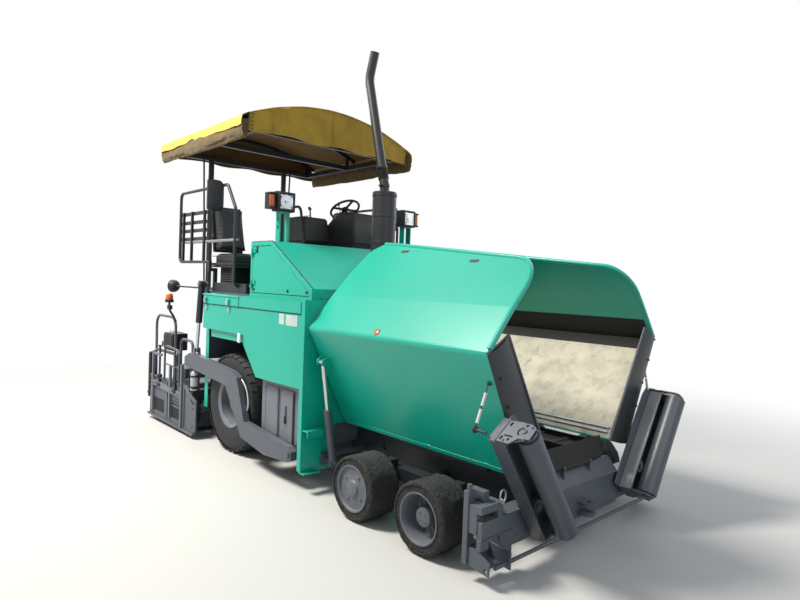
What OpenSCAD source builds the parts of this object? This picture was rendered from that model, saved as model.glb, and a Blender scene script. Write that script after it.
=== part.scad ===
// Wheeled asphalt paver: tractor with a folding hopper in front and an extending screed behind.
// X runs forward to the push rollers, Y to the machine's left, Z up from the ground.
// Places along X are measured from the rear axle; on_ground() moves the whole to its middle.

/* [Machine] */
// Outer face of the body sides, from the centre plane
body_y = 1240; // [1230:5:1245]
// Rear face of the tractor body
body_rear_x = -540; // [-550:5:-530]
// Rear face of the bulkhead
bulkhead_x = 1555; // [1550:1:1560]
// Thickness of the folded body sheet
sheet = 30; // [24:2:34]
// Underside of the operator platform
platform_z = 1750; // [1745:5:1760]
// Height of the hood's flat top
hood_top_z = 2330; // [2300:10:2350]
// Outer face of the frame's side plates, from the centre plane
frame_y = 520; // [515:1:525]
// Thickness of the frame's side plates
frame_t = 20; // [14:2:22]

/* [Rear wheels] */
// Outer diameter of a rear tyre
rear_tyre_d = 1100; // [1060:10:1110]
// Section width of a rear tyre
rear_tyre_w = 365; // [340:5:370]
// Seat diameter of a rear rim
rear_rim_d = 512; // [490:2:530]
// Outer face of a rear tyre, from the centre plane
rear_face_y = 1165; // [1150:5:1168]
// Diameter of a wheel drive's hub
drive_hub_d = 220; // [200:5:230]

/* [Front wheels] */
// Outer diameter of a solid front tyre
front_tyre_d = 540; // [520:5:545]
// Width of a solid front tyre
front_tyre_w = 300; // [285:5:305]
// Seat diameter of a front rim
front_rim_d = 390; // [370:5:400]
// Outer face of a front tyre, from the centre plane
front_face_y = 1250; // [1240:5:1252]
// Place of the foremost axle
front_x = 3120; // [3110:5:3125]
// Distance between the two front axles
front_gap = 770; // [760:5:775]
// Distance of a kingpin from the centre plane
kingpin_y = 900; // [896:2:904]
// Diameter of a kingpin
kingpin_d = 60; // [50:2:64]
// Diameter of a stub axle
stub_d = 80; // [70:2:90]

/* [Hopper] */
// Distance of a wing's pivot from the centre plane
wing_pivot_y = 480; // [476:1:484]
// Height of a wing's pivot
wing_pivot_z = 640; // [636:1:644]
// Rear end of the wings
wing_rear_x = 1612; // [1608:1:1616]
// Front end of the wings
wing_front_x = 3660; // [3650:2:3662]
// Outermost fold of a wing, from the centre plane
knuckle_y = 1220; // [1210:2:1226]
// Height of the outermost fold
knuckle_z = 1520; // [1510:2:1530]
// Thickness of the wing's outer skin
skin_t = 12; // [8:1:14]
// Thickness of the wing's steel liner
liner_t = 16; // [12:1:18]
// Slope length of a wing's flap at its rear end
flap_rear = 1060; // [1000:10:1080]
// Slope length of a wing's flap at its front end
flap_front = 840; // [800:10:860]
// Radius of the flap's front corner
flap_corner_r = 230; // [180:10:240]

/* [Push rollers] */
// Place of the push rollers' axes
roller_x = 3930; // [3926:1:3934]
// Diameter of a push roller
roller_d = 156; // [140:2:160]
// Length of a push roller
roller_len = 860; // [820:10:864]
// Pivot of a roller arm, from the centre plane
arm_pivot_y = 760; // [756:1:764]
// Height of a roller arm's pivot
arm_pivot_z = 455; // [452:1:458]
// Lean of a folded roller from the horizontal
roller_lean = 56; // [54:1:58]

/* [Screed] */
// Front wall of the main screed
screed_front_x = -990; // [-1000:2:-986]
// Rear wall of the main screed
screed_mid_x = -1500; // [-1510:5:-1490]
// Rear edge of the extensions
screed_rear_x = -2050; // [-2070:5:-2030]
// Underside of the sole plates above the ground as parked
sole_z = 60; // [50:5:70]
// Half of the basic working width
screed_y = 1236; // [1226:2:1240]
// Height of the screed housings
screed_h = 470; // [440:10:500]
// Outer diameter of an auger
auger_d = 340; // [310:10:350]
// Pitch of an auger's flight
auger_pitch = 300; // [260:10:320]
// Tow point of the screed arms
tow_x = 1384; // [1380:1:1388]
// Height of the tow point
tow_z = 318; // [314:1:322]
// Diameter of a tow pin
tow_pin_d = 60; // [50:2:64]

/* [Mirrors] */
// Outer edge of a mirror from the centre plane
mirror_y = 1400; // [1390:5:1420]

/* [Exhaust] */
// Height of the exhaust's tip
exhaust_top_z = 4620; // [4580:10:4660]
// Diameter of the exhaust pipe
exhaust_d = 106; // [100:2:120]

/* [Canopy] */
// Front edge of the canopy
canopy_front_x = 270; // [250:5:280]
// Rear edge of the canopy
canopy_rear_x = -1980; // [-2000:10:-1970]
// Half width of the canopy
canopy_y = 1150; // [1120:5:1160]
// Height of the canopy at its sides
canopy_z = 3725; // [3700:5:3750]
// Rise of the canopy's arch
canopy_rise = 250; // [200:10:270]
// Diameter of a canopy post
post_d = 76; // [60:2:84]

/* [Hidden] */
$fn = 48;

// Radial clearance of a shaft in its bore
run = 0.05;
// Gap between neighbouring pieces on different bodies
gap = 6;
// Side marks: the right side is drawn, the left is its mirror image
RIGHT = -1;
LEFT = 1;

nose_x = roller_x + roller_d / 2;
tail_x = screed_rear_x - 240;
mid_x = (nose_x + tail_x) / 2;

green = "#0aa583";
grey = "#4a4f57";
dark = "#23262b";
rubber = "#1d1d1e";
steel = "#9aa0a6";
dust = "#b9ad98";
canvas = "#c29a2e";

/* [Hidden] */
// Shape helpers

function unit(v) = v / norm(v);
function reversed(list) = [for (i = [len(list) - 1 : -1 : 0]) list[i]];
function left_normal(a, b) = let (d = unit(b - a)) [-d[1], d[0]];

// An open path moved sideways by t, mitred at its corners
function shifted(p, t) = [
    for (i = [0 : len(p) - 1])
        let (
            before = max(i - 1, 0),
            after = min(i, len(p) - 2),
            n1 = left_normal(p[before], p[before + 1]),
            n2 = left_normal(p[after], p[after + 1])
        )
        p[i] + t * (n1 + n2) / (1 + n1 * n2)
];

// The outline of a bent sheet of thickness t that follows a path
function bent_sheet(p, t) = concat(p, reversed(shifted(p, t)));

// The arc that rounds corner b between a and c
function corner_arc(a, b, c, r, steps) =
    let (
        u = unit(b - a),
        v = unit(c - b),
        turn = acos(max(-1, min(1, u * v))),
        start = b - r * tan(turn / 2) * u,
        hand = sign(u[0] * v[1] - u[1] * v[0]),
        centre = start + hand * r * [-u[1], u[0]],
        first = atan2(start[1] - centre[1], start[0] - centre[0])
    )
    [for (k = [0 : steps])
        let (angle = first + hand * turn * k / steps) centre + r * [cos(angle), sin(angle)]];

// An open path whose inner corners are rounded
function rounded(p, r, steps = 4) = [
    p[0],
    for (i = [1 : len(p) - 2]) each corner_arc(p[i - 1], p[i], p[i + 1], r, steps),
    p[len(p) - 1]
];

// A point turned about a centre in its plane
function turned(p, centre, angle) =
    centre + [
        (p - centre)[0] * cos(angle) - (p - centre)[1] * sin(angle),
        (p - centre)[0] * sin(angle) + (p - centre)[1] * cos(angle)
    ];

module on_ground() translate([-mid_x, 0, 0]) children();

module on_side(side) {
    if (side == RIGHT) mirror([0, 1, 0]) children();
    else children();
}

module both_sides() {
    children();
    mirror([0, 1, 0]) children();
}

// A block between two corners
module block(low, high) translate(low) cube(high - low);

// An outline in X and Z, extruded from y0 to y1
module side_profile(y0, y1, points)
    translate([0, y1, 0]) rotate([90, 0, 0]) linear_extrude(y1 - y0) polygon(points);

// An outline in Y and Z, extruded from x0 to x1
module cross_profile(x0, x1, points)
    translate([x0, 0, 0]) rotate([90, 0, 90]) linear_extrude(x1 - x0) polygon(points);

// Round bars along each axis, from a start point
module bar_x(from, length, d) translate(from) rotate([0, 90, 0]) cylinder(h = length, d = d);
module bar_y(from, length, d) translate(from) rotate([-90, 0, 0]) cylinder(h = length, d = d);
module bar_z(from, length, d) translate(from) cylinder(h = length, d = d);

// A round bar between two points
module rod(a, b, d) {
    v = b - a;
    translate(a)
        rotate([0, acos(v[2] / norm(v)), atan2(v[1], v[0])])
            cylinder(h = norm(v), d = d);
}

// One bend of a tube at corner b, between a and c, as an exact torus piece
module tube_bend(a, b, c, d, r) {
    u = unit(b - a);
    v = unit(c - b);
    turn = acos(u * v);
    start = b - r * tan(turn / 2) * u;
    inward = unit(v - (v * u) * u);
    centre = start + r * inward;
    xa = -inward;
    za = cross(xa, u);
    multmatrix([
        [xa[0], u[0], za[0], centre[0]],
        [xa[1], u[1], za[1], centre[1]],
        [xa[2], u[2], za[2], centre[2]],
        [0, 0, 0, 1]
    ])
        rotate_extrude(angle = turn) translate([r, 0]) circle(d = d + 0.8, $fn = 24);
}

function trim_at(p, i, r) =
    i == 0 || i == len(p) - 1 ? 0
    : let (turn = acos(unit(p[i] - p[i - 1]) * unit(p[i + 1] - p[i]))) r * tan(turn / 2);

// A bent round tube through points, each corner bent to radius r
module tube(p, d, r = 60) {
    for (i = [0 : len(p) - 2]) {
        u = unit(p[i + 1] - p[i]);
        rod(p[i] + (trim_at(p, i, r) - (i == 0 ? 0 : 1)) * u,
            p[i + 1] - (trim_at(p, i + 1, r) - (i == len(p) - 2 ? 0 : 1)) * u, d, $fn = 24);
    }
    if (len(p) > 2) for (i = [1 : len(p) - 2]) tube_bend(p[i - 1], p[i], p[i + 1], d, r);
}

// Frame, conveyor and front beam

conveyor_y = 430;
conveyor_low_z = 412;
conveyor_high_z = 640;
frame_rear_x = -500;
frame_front_x = 3560;
frame_low_z = 270;
bogie_x = front_x - front_gap / 2;
bogie_pin_z = 345;
bogie_pin_d = 90;
hinge_d = 36;
lashing_at = [1930, 400];
lashing_d = 60;
hinge_len = 100;
hinge_xs = [wing_rear_x + 90, (wing_rear_x + wing_front_x) / 2 - 50, wing_front_x - 210];

module frame_plate() {
    difference() {
        side_profile(frame_y - frame_t, frame_y, [
            [frame_rear_x, frame_low_z + 30], [0, frame_low_z + 30], [bulkhead_x, frame_low_z],
            [frame_front_x, frame_low_z], [frame_front_x, 580], [bulkhead_x + 60, 580],
            [bulkhead_x - 40, 980], [frame_rear_x, 980]
        ]);
        bar_y([lashing_at[0], frame_y - frame_t - 5, lashing_at[1]], frame_t + 10, lashing_d);
    }
}

module wing_hinge_pin(x) {
    bar_x([x - 26, wing_pivot_y, wing_pivot_z], hinge_len + 52, hinge_d);
    for (lug_x = [x - 26, x + hinge_len + 6]) {
        bar_x([lug_x, wing_pivot_y, wing_pivot_z], 20, hinge_d + 24);
        block([lug_x, wing_pivot_y - 24, 560], [lug_x + 20, frame_y, wing_pivot_z]);
    }
}

module chassis_frame() on_ground() color(grey) {
    cross_xs = [-440, 640, 1480, 2300, 3180, 3480];
    both_sides() {
        frame_plate();
        for (x = hinge_xs) wing_hinge_pin(x);
        // Pipe along the frame
        bar_x([1800, frame_y + 40, 520], 1400, 44);
        for (x = [1820, 2440, 3150]) block([x, frame_y - 1, 500], [x + 30, frame_y + 40, 540]);
    }
    for (x = cross_xs)
        block([x - 50, frame_t - frame_y, frame_low_z + 32], [x + 50, frame_y - frame_t, 392]);
    bar_y([bogie_x, -(frame_y + 310), bogie_pin_z], 2 * (frame_y + 310), bogie_pin_d);
    block([frame_rear_x + 20, -12, 390], [frame_front_x - 20, 12, 700]);
    // Hanger of the auger drive
    block([auger_x - 60, -24, auger_z - 60], [auger_x + 60, 24, 720]);
    block([auger_x - 60, -24, 620], [frame_rear_x + 40, 24, 720]);
    block([frame_rear_x, -frame_y + 1, 655], [frame_rear_x + 40, frame_y - 1, 720]);
    bar_y([auger_x, -24.4, auger_z], 48.8, 140);
    // Rails under the returning slats
    both_sides() block([cross_xs[0] - 20, 200, 391], [cross_xs[4] + 40, 240, conveyor_low_z - 10]);
}

// Brackets out from the frame: the tow point of the screed arm and the foot of the wing cylinder
module outriggers() on_ground() color(grey) both_sides() {
    foot_x = bulkhead_x + sheet + 8;
    block([tow_x - 45, frame_y, frame_low_z + 6], [tow_x + 45, 1160, 366]);
    bar_y([tow_x, 1150, tow_z], 118, tow_pin_d);
    block([foot_x, frame_y, 300], [foot_x + 30, 1030, 345]);
    block([foot_x, 950, 240], [foot_x + 30, 1030, 301]);
    bar_x([foot_x + 12, barrel_foot[0], barrel_foot[1]], wing_cyl_x + 38 - foot_x, 40);
}

// The closed outline of one conveyor band, with round ends
module band_outline(grow) {
    r = (conveyor_high_z - conveyor_low_z) / 2 + grow;
    z = (conveyor_high_z + conveyor_low_z) / 2;
    for (x = [frame_rear_x + 90, frame_front_x - 150]) translate([x, z]) circle(r = r);
    translate([frame_rear_x + 90, z - r]) square([frame_front_x - frame_rear_x - 240, 2 * r]);
}

module conveyor() on_ground() color(steel) {
    slat_pitch = 245;
    slat_count = floor((frame_front_x - frame_rear_x - 240) / slat_pitch);
    for (side = [RIGHT, LEFT]) on_side(side) {
        translate([0, conveyor_y, 0]) rotate([90, 0, 0]) linear_extrude(conveyor_y - 26)
            difference() {
                band_outline(-8);
                band_outline(-20);
            }
        for (i = [0 : slat_count]) {
            x = frame_rear_x + 90 + i * slat_pitch;
            for (z = [conveyor_high_z - 10, conveyor_low_z - 10])
                block([x, 30, z], [x + 36, conveyor_y - 4, z + 20]);
        }
    }
}

// The push beam with its roller pivots, towing lugs and corner deflectors
beam_x0 = frame_front_x;
beam_x1 = 3690;
beam_y = 900;
hitch_reach = 56;
tow_bore_d = 42;
apron_x = 3632;
apron_z = 566;

module corner_deflector() {
    block([beam_x1 - 40, beam_y - 1, 300], [beam_x1, body_y - 10, 420]);
    block([beam_x1 - 110, 1010, 470], [beam_x1, body_y - 4, 520]);
    block([beam_x1 - 34, 1010, 419], [beam_x1, 1060, 471]);
    block([beam_x1 - 34, 1150, 231], [beam_x1, body_y - 4, 301]);
    block([beam_x1 - 150, body_y - 66, 110], [beam_x1 - 110, body_y + 4, 600]);
    block([beam_x1 - 111, body_y - 40, 330], [beam_x1 - 39, body_y - 4, 520]);
    // Open channel at the foot, with a hole near the nose of its outer plate
    difference() {
        side_profile(body_y - 24, body_y - 10, [
            [beam_x1 - 111, 110], [beam_x1 + 66, 90], [beam_x1 + 72, 176], [beam_x1 - 30, 232],
            [beam_x1 - 111, 232]
        ]);
        bar_y([beam_x1 + 40, body_y - 30, 120], 30, 30);
    }
    side_profile(1020, 1034, [
        [beam_x1 - 111, 110], [beam_x1 + 90, 88], [beam_x1 + 90, 206], [beam_x1 + 20, 210],
        [beam_x1 - 111, 232]
    ]);
    side_profile(1020, body_y - 10, [
        [beam_x1 - 111, 110], [beam_x1 + 6, 96], [beam_x1 + 6, 110], [beam_x1 - 97, 124],
        [beam_x1 - 97, 232], [beam_x1 - 111, 232]
    ]);
    bar_z([beam_x1 - 130, body_y - 30, 599], 40, 34);
    // Stub of square tube behind the box
    block([beam_x1 - 190, 1090, 530], [beam_x1 - 60, 1150, 590]);
    block([beam_x1 - 90, 1100, 519], [beam_x1 - 60, 1140, 531]);
}

module front_crossmember() on_ground() color(grey) difference() {
    union() {
        side_profile(-561, 561, [
            [beam_x0, 300], [beam_x0, 530], [beam_x0 + 40, 540], [beam_x1, 430],
            [beam_x1, 170], [beam_x1 - 60, 150], [beam_x1 - 90, 230]
        ]);
        both_sides() {
            side_profile(560, beam_y, [
                [beam_x0, 300], [beam_x0, 420], [beam_x1, 420], [beam_x1, 190],
                [beam_x1 - 90, 230]
            ]);
            block([beam_x1 - 22, arm_pivot_y - 60, 419], [beam_x1, arm_pivot_y + 60, arm_pivot_z]);
            bar_x([beam_x1 - 22, arm_pivot_y, arm_pivot_z], 28, 120);
            bar_x([beam_x1, arm_pivot_y, arm_pivot_z], 120, 50);
            corner_deflector();
            block([beam_x1 - 80, 899, 120], [beam_x1, 1030, 301]);
            block([apron_x - 14, 180, 480], [apron_x + 14, 200, apron_z]);
            bar_y([apron_x, 180, apron_z], 20, 40);
        }
        // Jaw of the towing hitch
        for (z = [205, 281]) {
            block([beam_x1 - 10, -60, z], [beam_x1 + hitch_reach, 60, z + 22]);
            bar_z([beam_x1 + hitch_reach, 0, z], 22, 120);
        }
        bar_y([beam_x1 + 56, -1150, 122], 2300, 28);
        bar_y([apron_x, -200, apron_z], 400, 20);
    }
    bar_z([beam_x1 + hitch_reach, 0, 190], 130, tow_bore_d);
}

// Body of the tractor

lid_top_z = 1742;
lid_low_z = 1640;
lid_front_x = 330;
door_y = 1150;
hood_rear_x = 385;
hood_bend_x = 800;
hood_front_x = 1545;
hood_low_z = platform_z + 0.4;
hood_front_z = 1870;

module bulkhead() on_ground() color(green) {
    front = bulkhead_x + sheet;
    inner = frame_y + gap;
    cross_profile(bulkhead_x, front, [
        [-body_y, 185], [-870, 185], [-870, 600], [-inner, 600], [-inner, 1010],
        [inner, 1010], [inner, 600], [870, 600], [870, 185], [body_y, 185],
        [body_y, platform_z + 20], [-body_y, platform_z + 20]
    ]);
    both_sides() {
        block([front - 1, 1060, 578], [front + 90, body_y - 6, 590]);
        block([front + 78, 1060, 530], [front + 90, body_y - 6, 579]);
        block([front - 1, 700, 940], [front + 20, 800, 960]);
        block([front - 1, 1060, 185], [front + 60, body_y, 197]);
        // Cleats on the frame plates
        block([bulkhead_x - 54, frame_y, 640], [bulkhead_x + 1, frame_y + 60, 800]);
    }
}

module body_sides() on_ground() color(green) both_sides() {
    difference() {
        side_profile(body_y - sheet, body_y, [
            [body_rear_x, lid_top_z], [bulkhead_x, lid_top_z], [bulkhead_x, 955],
            [726, 950], [446, 1252], [440, 1350], [body_rear_x, 1350]
        ]);
        block([body_rear_x + 50, body_y - sheet - 1, lid_low_z + 14],
              [lid_front_x - 20, body_y + 1, lid_top_z - 30]);
    }
    block([body_rear_x, body_y - 150, lid_top_z - 1], [bulkhead_x, body_y, platform_z]);
    block([body_rear_x + 160, body_y - 60, 1263], [440, body_y - sheet, 1350]);
    block([body_rear_x + 160, body_y - 60, 1349], [440, body_y - sheet + 1, 1361]);
    // Guide strip between the rear wheel and the screed arm
    block([body_rear_x - 50, 1170.5, 410], [body_rear_x + 30, 1176.5, 1380]);
    block([body_rear_x, 1170.5, 1355], [body_rear_x + 30, body_y - sheet + 1, 1380]);
    // Hinge of the lid
    bar_x([body_rear_x + 4, body_y + 10, lid_top_z], lid_front_x - body_rear_x + 18, 10 - 2 * run);
    for (x = [body_rear_x + 4, lid_front_x + 6]) {
        block([x, body_y - 4, lid_top_z - 8], [x + 16, body_y + 10, lid_top_z + 8]);
        bar_x([x, body_y + 10, lid_top_z], 16, 16);
    }
}

// The long flap above the side seam, held by toggle latches
module lid(side) on_ground() color(green) on_side(side) {
    x0 = body_rear_x + 26;
    difference() {
        union() {
            block([x0, body_y + 3, lid_low_z], [lid_front_x, body_y + 12, lid_top_z]);
            bar_x([x0, body_y + 10, lid_top_z], lid_front_x - x0, 20);
        }
        bar_x([x0 - 10, body_y + 10, lid_top_z], lid_front_x - x0 + 20, 10);
        block([x0 - 10, body_y - 12, lid_top_z - 20], [lid_front_x + 10, body_y + 1, lid_top_z + 20]);
    }
    for (x = [x0 + 40, 80])
        block([x, body_y + 11, lid_low_z + 4], [x + 50, body_y + 24, lid_low_z + 70]);
}

function hood_outline(inset) = [
    [hood_rear_x + inset, hood_low_z], [hood_rear_x + inset, hood_top_z - inset],
    [hood_bend_x - inset * 0.3, hood_top_z - inset],
    [hood_front_x - inset, hood_front_z - inset * 0.8], [hood_front_x - inset, hood_low_z]
];

function door_outline(inset) = [
    [hood_rear_x + inset, hood_low_z + inset], [hood_rear_x + inset, hood_top_z - inset],
    [hood_bend_x - inset * 0.3, hood_top_z - inset],
    [hood_front_x - inset, hood_front_z - inset * 0.8], [hood_front_x - inset, hood_low_z + inset]
];

lamp_x = 570;
lamp_y = 890;
lamp_z = 2765;
door_hinge_x = hood_rear_x + 47;
door_hinge_zs = [1850, 2180];
door_hinge_y = door_y + 12.5;

module hood() on_ground() color(green) {
    difference() {
        side_profile(-door_y, door_y, hood_outline(0));
        side_profile(-door_y + 24, door_y - 24, hood_outline(24));
        block([hood_rear_x + 24, -door_y + 24, hood_low_z - 30],
              [hood_front_x - 24, door_y - 24, hood_low_z + 30]);
        both_sides() side_profile(door_y - 30, door_y + 30, door_outline(44));
    }
    both_sides() {
        for (y = [lamp_y - 60, lamp_y + 48])
            block([lamp_x - 40, y, hood_top_z - 1], [lamp_x + 40, y + 12, 2664]);
        block([lamp_x - 40, lamp_y - 60, 2650], [lamp_x + 40, lamp_y + 60, 2664]);
        for (z = door_hinge_zs) {
            block([door_hinge_x - 30, door_y - 10, z], [door_hinge_x, door_y + 18, z + 30]);
            bar_z([door_hinge_x, door_hinge_y, z], 30, 24);
            bar_z([door_hinge_x, door_hinge_y, z], 78, 12 - 2 * run);
        }
    }
}

module hood_door(side) on_ground() color(green) on_side(side) {
    side_profile(door_y - 20, door_y, door_outline(50));
    difference() {
        for (z = door_hinge_zs) {
            bar_z([door_hinge_x, door_hinge_y, z + 36], 40, 24);
            block([door_hinge_x, door_y - 1, z + 36], [door_hinge_x + 60, door_y + 10, z + 76]);
        }
        bar_z([door_hinge_x, door_hinge_y, hood_low_z], 600, 12);
    }
}

module engine_block() on_ground() color(dark) {
    block([520, -frame_y, 980.4], [1440, frame_y, 1880]);
}

module side_tanks() on_ground() color(grey) both_sides() {
    block([730, frame_y, 380], [1500, 1160, 930]);
    for (x = [810, 1085]) block([x, 1159, 386], [x + 250, 1172, 890]);
}

// Operator stand

post_x = -1880;
post_y = 580;
stand_rear_x = -1950;
stand_y = 660;
side_stand_x = -700;
lift_top = [-650, 1850];
lift_eye = [-740, 1065];
lift_y = 1220;

module platform() on_ground() color(grey) {
    top = platform_z + 25;
    block([side_stand_x, -1140, platform_z], [hood_rear_x - 1, 1140, top]);
    block([stand_rear_x, -stand_y, platform_z], [side_stand_x + 1, stand_y, top]);
    both_sides() {
        block([stand_rear_x, stand_y - 12, 1640], [side_stand_x, stand_y, platform_z + 1]);
        block([side_stand_x, stand_y - 12, 1640], [side_stand_x + 12, 1140, platform_z + 1]);
        block([body_rear_x - 20, frame_y, 980], [body_rear_x, 1165, platform_z + 1]);
        // Bracket and pin of the screed lift cylinder
        block([side_stand_x + 11, 1120, 1640], [body_rear_x - 19, 1140, platform_z + 1]);
        block([lift_top[0] - 45, 1146, 1700], [lift_top[0] + 45, 1164, 1890]);
        block([lift_top[0] - 45, 1120, 1700], [lift_top[0] + 45, 1150, 1745]);
        bar_y([lift_top[0], 1150, lift_top[1]], 112, 50);
    }
    block([body_rear_x - 20, -frame_y, 985], [body_rear_x, frame_y, platform_z + 1]);
    block([stand_rear_x, -stand_y, 1640], [stand_rear_x + 12, stand_y, platform_z + 1]);
}

module console() on_ground() color(dark) {
    top = platform_z + 25;
    block([-520, -190, top], [-120, 190, 2421]);
    side_profile(-170, 170, [[-600, 2420], [-575, 2720], [-130, 2720], [-40, 2420]]);
    block([-260, 240, top], [340, 680, 2401]);
    side_profile(240, 680, [[-300, 2400], [-250, 2640], [0, 2790], [330, 2790], [360, 2400]]);
    rod([-30, 460, 2725], [-135, 460, 2888], 44);
    // Steering wheel
    translate([-135, 460, 2888]) rotate([0, -32, 0]) {
        rotate_extrude() translate([190, 0]) circle(d = 30, $fn = 24);
        for (a = [0, 90]) rotate([0, 0, a]) block([-190, -14, -8], [190, 14, 8]);
    }
    tube([[-500, -180, 2400], [-500, -180, 2860], [-200, -180, 2860], [-90, -180, 2400]], 34, 90);
}

seat_y = 930;
seat_x = -310;

module seat_carrier(side) on_ground() color(dark) on_side(side) {
    top = platform_z + 25;
    back = -540;
    guard_x = -1390;
    guard_low = 2120;
    rail_y = 1190;
    slat_front = -690;
    block([back, 700, top + 0.5], [280, 1140, 1880]);
    block([seat_x - 150, seat_y - 150, 1879], [seat_x + 150, seat_y + 150, 2061]);
    block([seat_x - 290, seat_y - 210, 2060], [seat_x + 260, seat_y + 206, 2080]);
    // Bent guard tube round the outer side
    block([back, 1100, 1879], [back + 40, 1140, 2050]);
    block([back, 1139, 2010], [back + 40, rail_y + 17, 2050]);
    block([back, rail_y - 17, 2049], [back + 40, rail_y + 17, guard_low + 17]);
    tube([[back + 10, rail_y, guard_low], [guard_x, rail_y, guard_low], [guard_x, rail_y, 2980],
          [-110, rail_y, 2980], [90, rail_y, 2700], [90, rail_y, 1850], [90, 1120, 1850]], 36, 70);
    // Slats and board beside the seat
    for (x = [guard_x + 100, (guard_x + slat_front) / 2, slat_front])
        block([x - 14, rail_y - 14, guard_low], [x + 14, rail_y + 14, 2735]);
    for (z = [2380, 2480, 2580, 2690])
        block([guard_x, rail_y - 24, z], [slat_front + 14, rail_y - 8, z + 42]);
    block([guard_x + 140, 1150, 2348], [110, rail_y - 4, 2372]);
    // Mirror on its arm
    tube([[-200, rail_y, 2980], [-200, 1290, 2980], [-165, 1335, 2950], [-165, 1335, 2800]], 22, 40);
    block([-186, 1270, 2690], [-156, mirror_y, 3010]);
}

module seat(side) on_ground() color(rubber) on_side(side) {
    block([seat_x - 280, seat_y - 230, 2080.4], [seat_x + 270, seat_y + 206, 2230]);
    side_profile(seat_y - 220, seat_y + 204, [
        [seat_x - 280, 2229], [seat_x - 380, 2800], [seat_x - 290, 2820], [seat_x - 150, 2229]
    ]);
}

module headlamps() on_ground() color(dark) both_sides() {
    block([lamp_x - 55, lamp_y - 105, 2664], [lamp_x + 60, lamp_y + 105, 2870]);
    block([lamp_x - 55, lamp_y + 104, 2690], [lamp_x + 20, lamp_y + 190, 2850]);
}

muffler_x = 1000;
muffler_y = 155;
pipe_lean_x = 650;

module exhaust() on_ground() color(rubber) difference() {
    union() {
        bar_z([muffler_x, muffler_y, 2100], 860, 270);
        tube([[muffler_x, muffler_y, 2950], [muffler_x - 10, muffler_y, 3060],
              [pipe_lean_x, muffler_y, exhaust_top_z - 310],
              [pipe_lean_x + 88, muffler_y, exhaust_top_z - 14]], exhaust_d, 260);
    }
    side_profile(-door_y, door_y, hood_outline(-0.4));
}

// Canopy

frame_ring_z = 3560;
arch_steps = 8;

// Height of the canopy above a place across it
function canopy_height(y) = canopy_z + canopy_rise * (1 - pow(y / canopy_y, 2));

function arch_points(drop) = [
    for (i = [-arch_steps : arch_steps])
        let (y = canopy_y * i / arch_steps) [y, canopy_height(y) - drop]
];

module canopy_frame() on_ground() color(dark) {
    ring_front = canopy_front_x - 120;
    ring_rear = canopy_rear_x + 60;
    ring_y = canopy_y - 110;
    top = platform_z + 25;
    bow_xs = [ring_rear, (ring_rear + ring_front) / 2, ring_front - 50];
    both_sides() {
        bar_z([post_x, post_y, top], frame_ring_z - top + 1, post_d);
        block([post_x - 70, post_y - 75, top], [post_x + 90, post_y + 75, top + 20]);
        block([ring_rear, ring_y - 50, frame_ring_z], [ring_front, ring_y, frame_ring_z + 60]);
        block([post_x - 30, post_y - 60, frame_ring_z], [post_x + 30, ring_y - 40, frame_ring_z + 50]);
        rod([post_x, post_y + 60, top + 10], [post_x, post_y + 110, frame_ring_z + 10], 24);
        for (x = bow_xs)
            block([x, ring_y - 40, frame_ring_z + 50], [x + 40, ring_y - 10, canopy_height(ring_y) - 30]);
    }
    for (x = bow_xs) {
        block([x, -ring_y, frame_ring_z], [x + 50, ring_y, frame_ring_z + 60]);
        cross_profile(x, x + 40, bent_sheet(arch_points(15.6), -36));
    }
}

module canopy_cover() on_ground() color(canvas) {
    cross_profile(canopy_rear_x, canopy_front_x, bent_sheet(arch_points(0), -14));
    for (x = [canopy_rear_x, canopy_front_x - 14])
        cross_profile(x, x + 14, concat(
            [[-canopy_y, canopy_z - 195], [canopy_y, canopy_z - 195]], reversed(arch_points(5))));
}

module awnings() on_ground() color(canvas) both_sides() {
    side_profile(canopy_y + 0.5, canopy_y + 105, [
        [canopy_rear_x + 20, canopy_z - 285], [canopy_rear_x, canopy_z - 13],
        [canopy_front_x, canopy_z - 13], [canopy_front_x - 10, canopy_z - 295]
    ]);
}

// Wheels

module wheel_drives() on_ground() color(grey) both_sides() {
    bar_y([0, frame_y, rear_tyre_d / 2], 60, 420);
    bar_y([0, frame_y + 59, rear_tyre_d / 2], 180, 330);
    bar_y([0, frame_y + 59, rear_tyre_d / 2], rear_face_y - 129 - frame_y, drive_hub_d);
}

rear_mid_y = rear_face_y - rear_tyre_w / 2;

module rear_tyre(side) {
    r = rear_tyre_d / 2;
    w = rear_tyre_w / 2;
    on_ground() color(rubber) on_side(side) translate([0, rear_mid_y, r]) rotate([-90, 0, 0])
        rotate_extrude($fn = 96) polygon(concat(
            [[rear_rim_d / 2 + 2, -w + 40], [rear_rim_d / 2 + 40, -w + 12]],
            rounded([[r - 130, -w], [r - 8, -w + 18], [r, 0], [r - 8, w - 18], [r - 130, w]], 34, 3),
            [[rear_rim_d / 2 + 40, w - 12], [rear_rim_d / 2 + 2, w - 40]]
        ));
}

module rear_rim(side) {
    r = rear_tyre_d / 2;
    w = rear_tyre_w / 2;
    rim = rear_rim_d / 2;
    on_ground() color(steel) on_side(side) translate([0, rear_mid_y, r]) rotate([-90, 0, 0]) {
        rotate_extrude($fn = 72) polygon([
            [rim + 1, -w + 40], [rim + 22, -w + 20], [rim + 22, -w + 12], [rim - 4, -w + 30],
            [rim - 14, -w + 44], [rim - 34, -60], [rim - 34, 60], [rim - 14, w - 44],
            [rim - 4, w - 30], [rim + 22, w - 12], [rim + 22, w - 20], [rim + 1, w - 40],
            [rim - 20, 60], [rim - 20, -60]
        ]);
        rotate_extrude($fn = 72) polygon([
            [drive_hub_d / 2 + run, 40], [rim - 28, 20], [rim - 28, 36], [170, 62],
            [drive_hub_d / 2 + run, 62]
        ]);
    }
}

ear_low_z = 92;
ear_high_z = 448;

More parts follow.
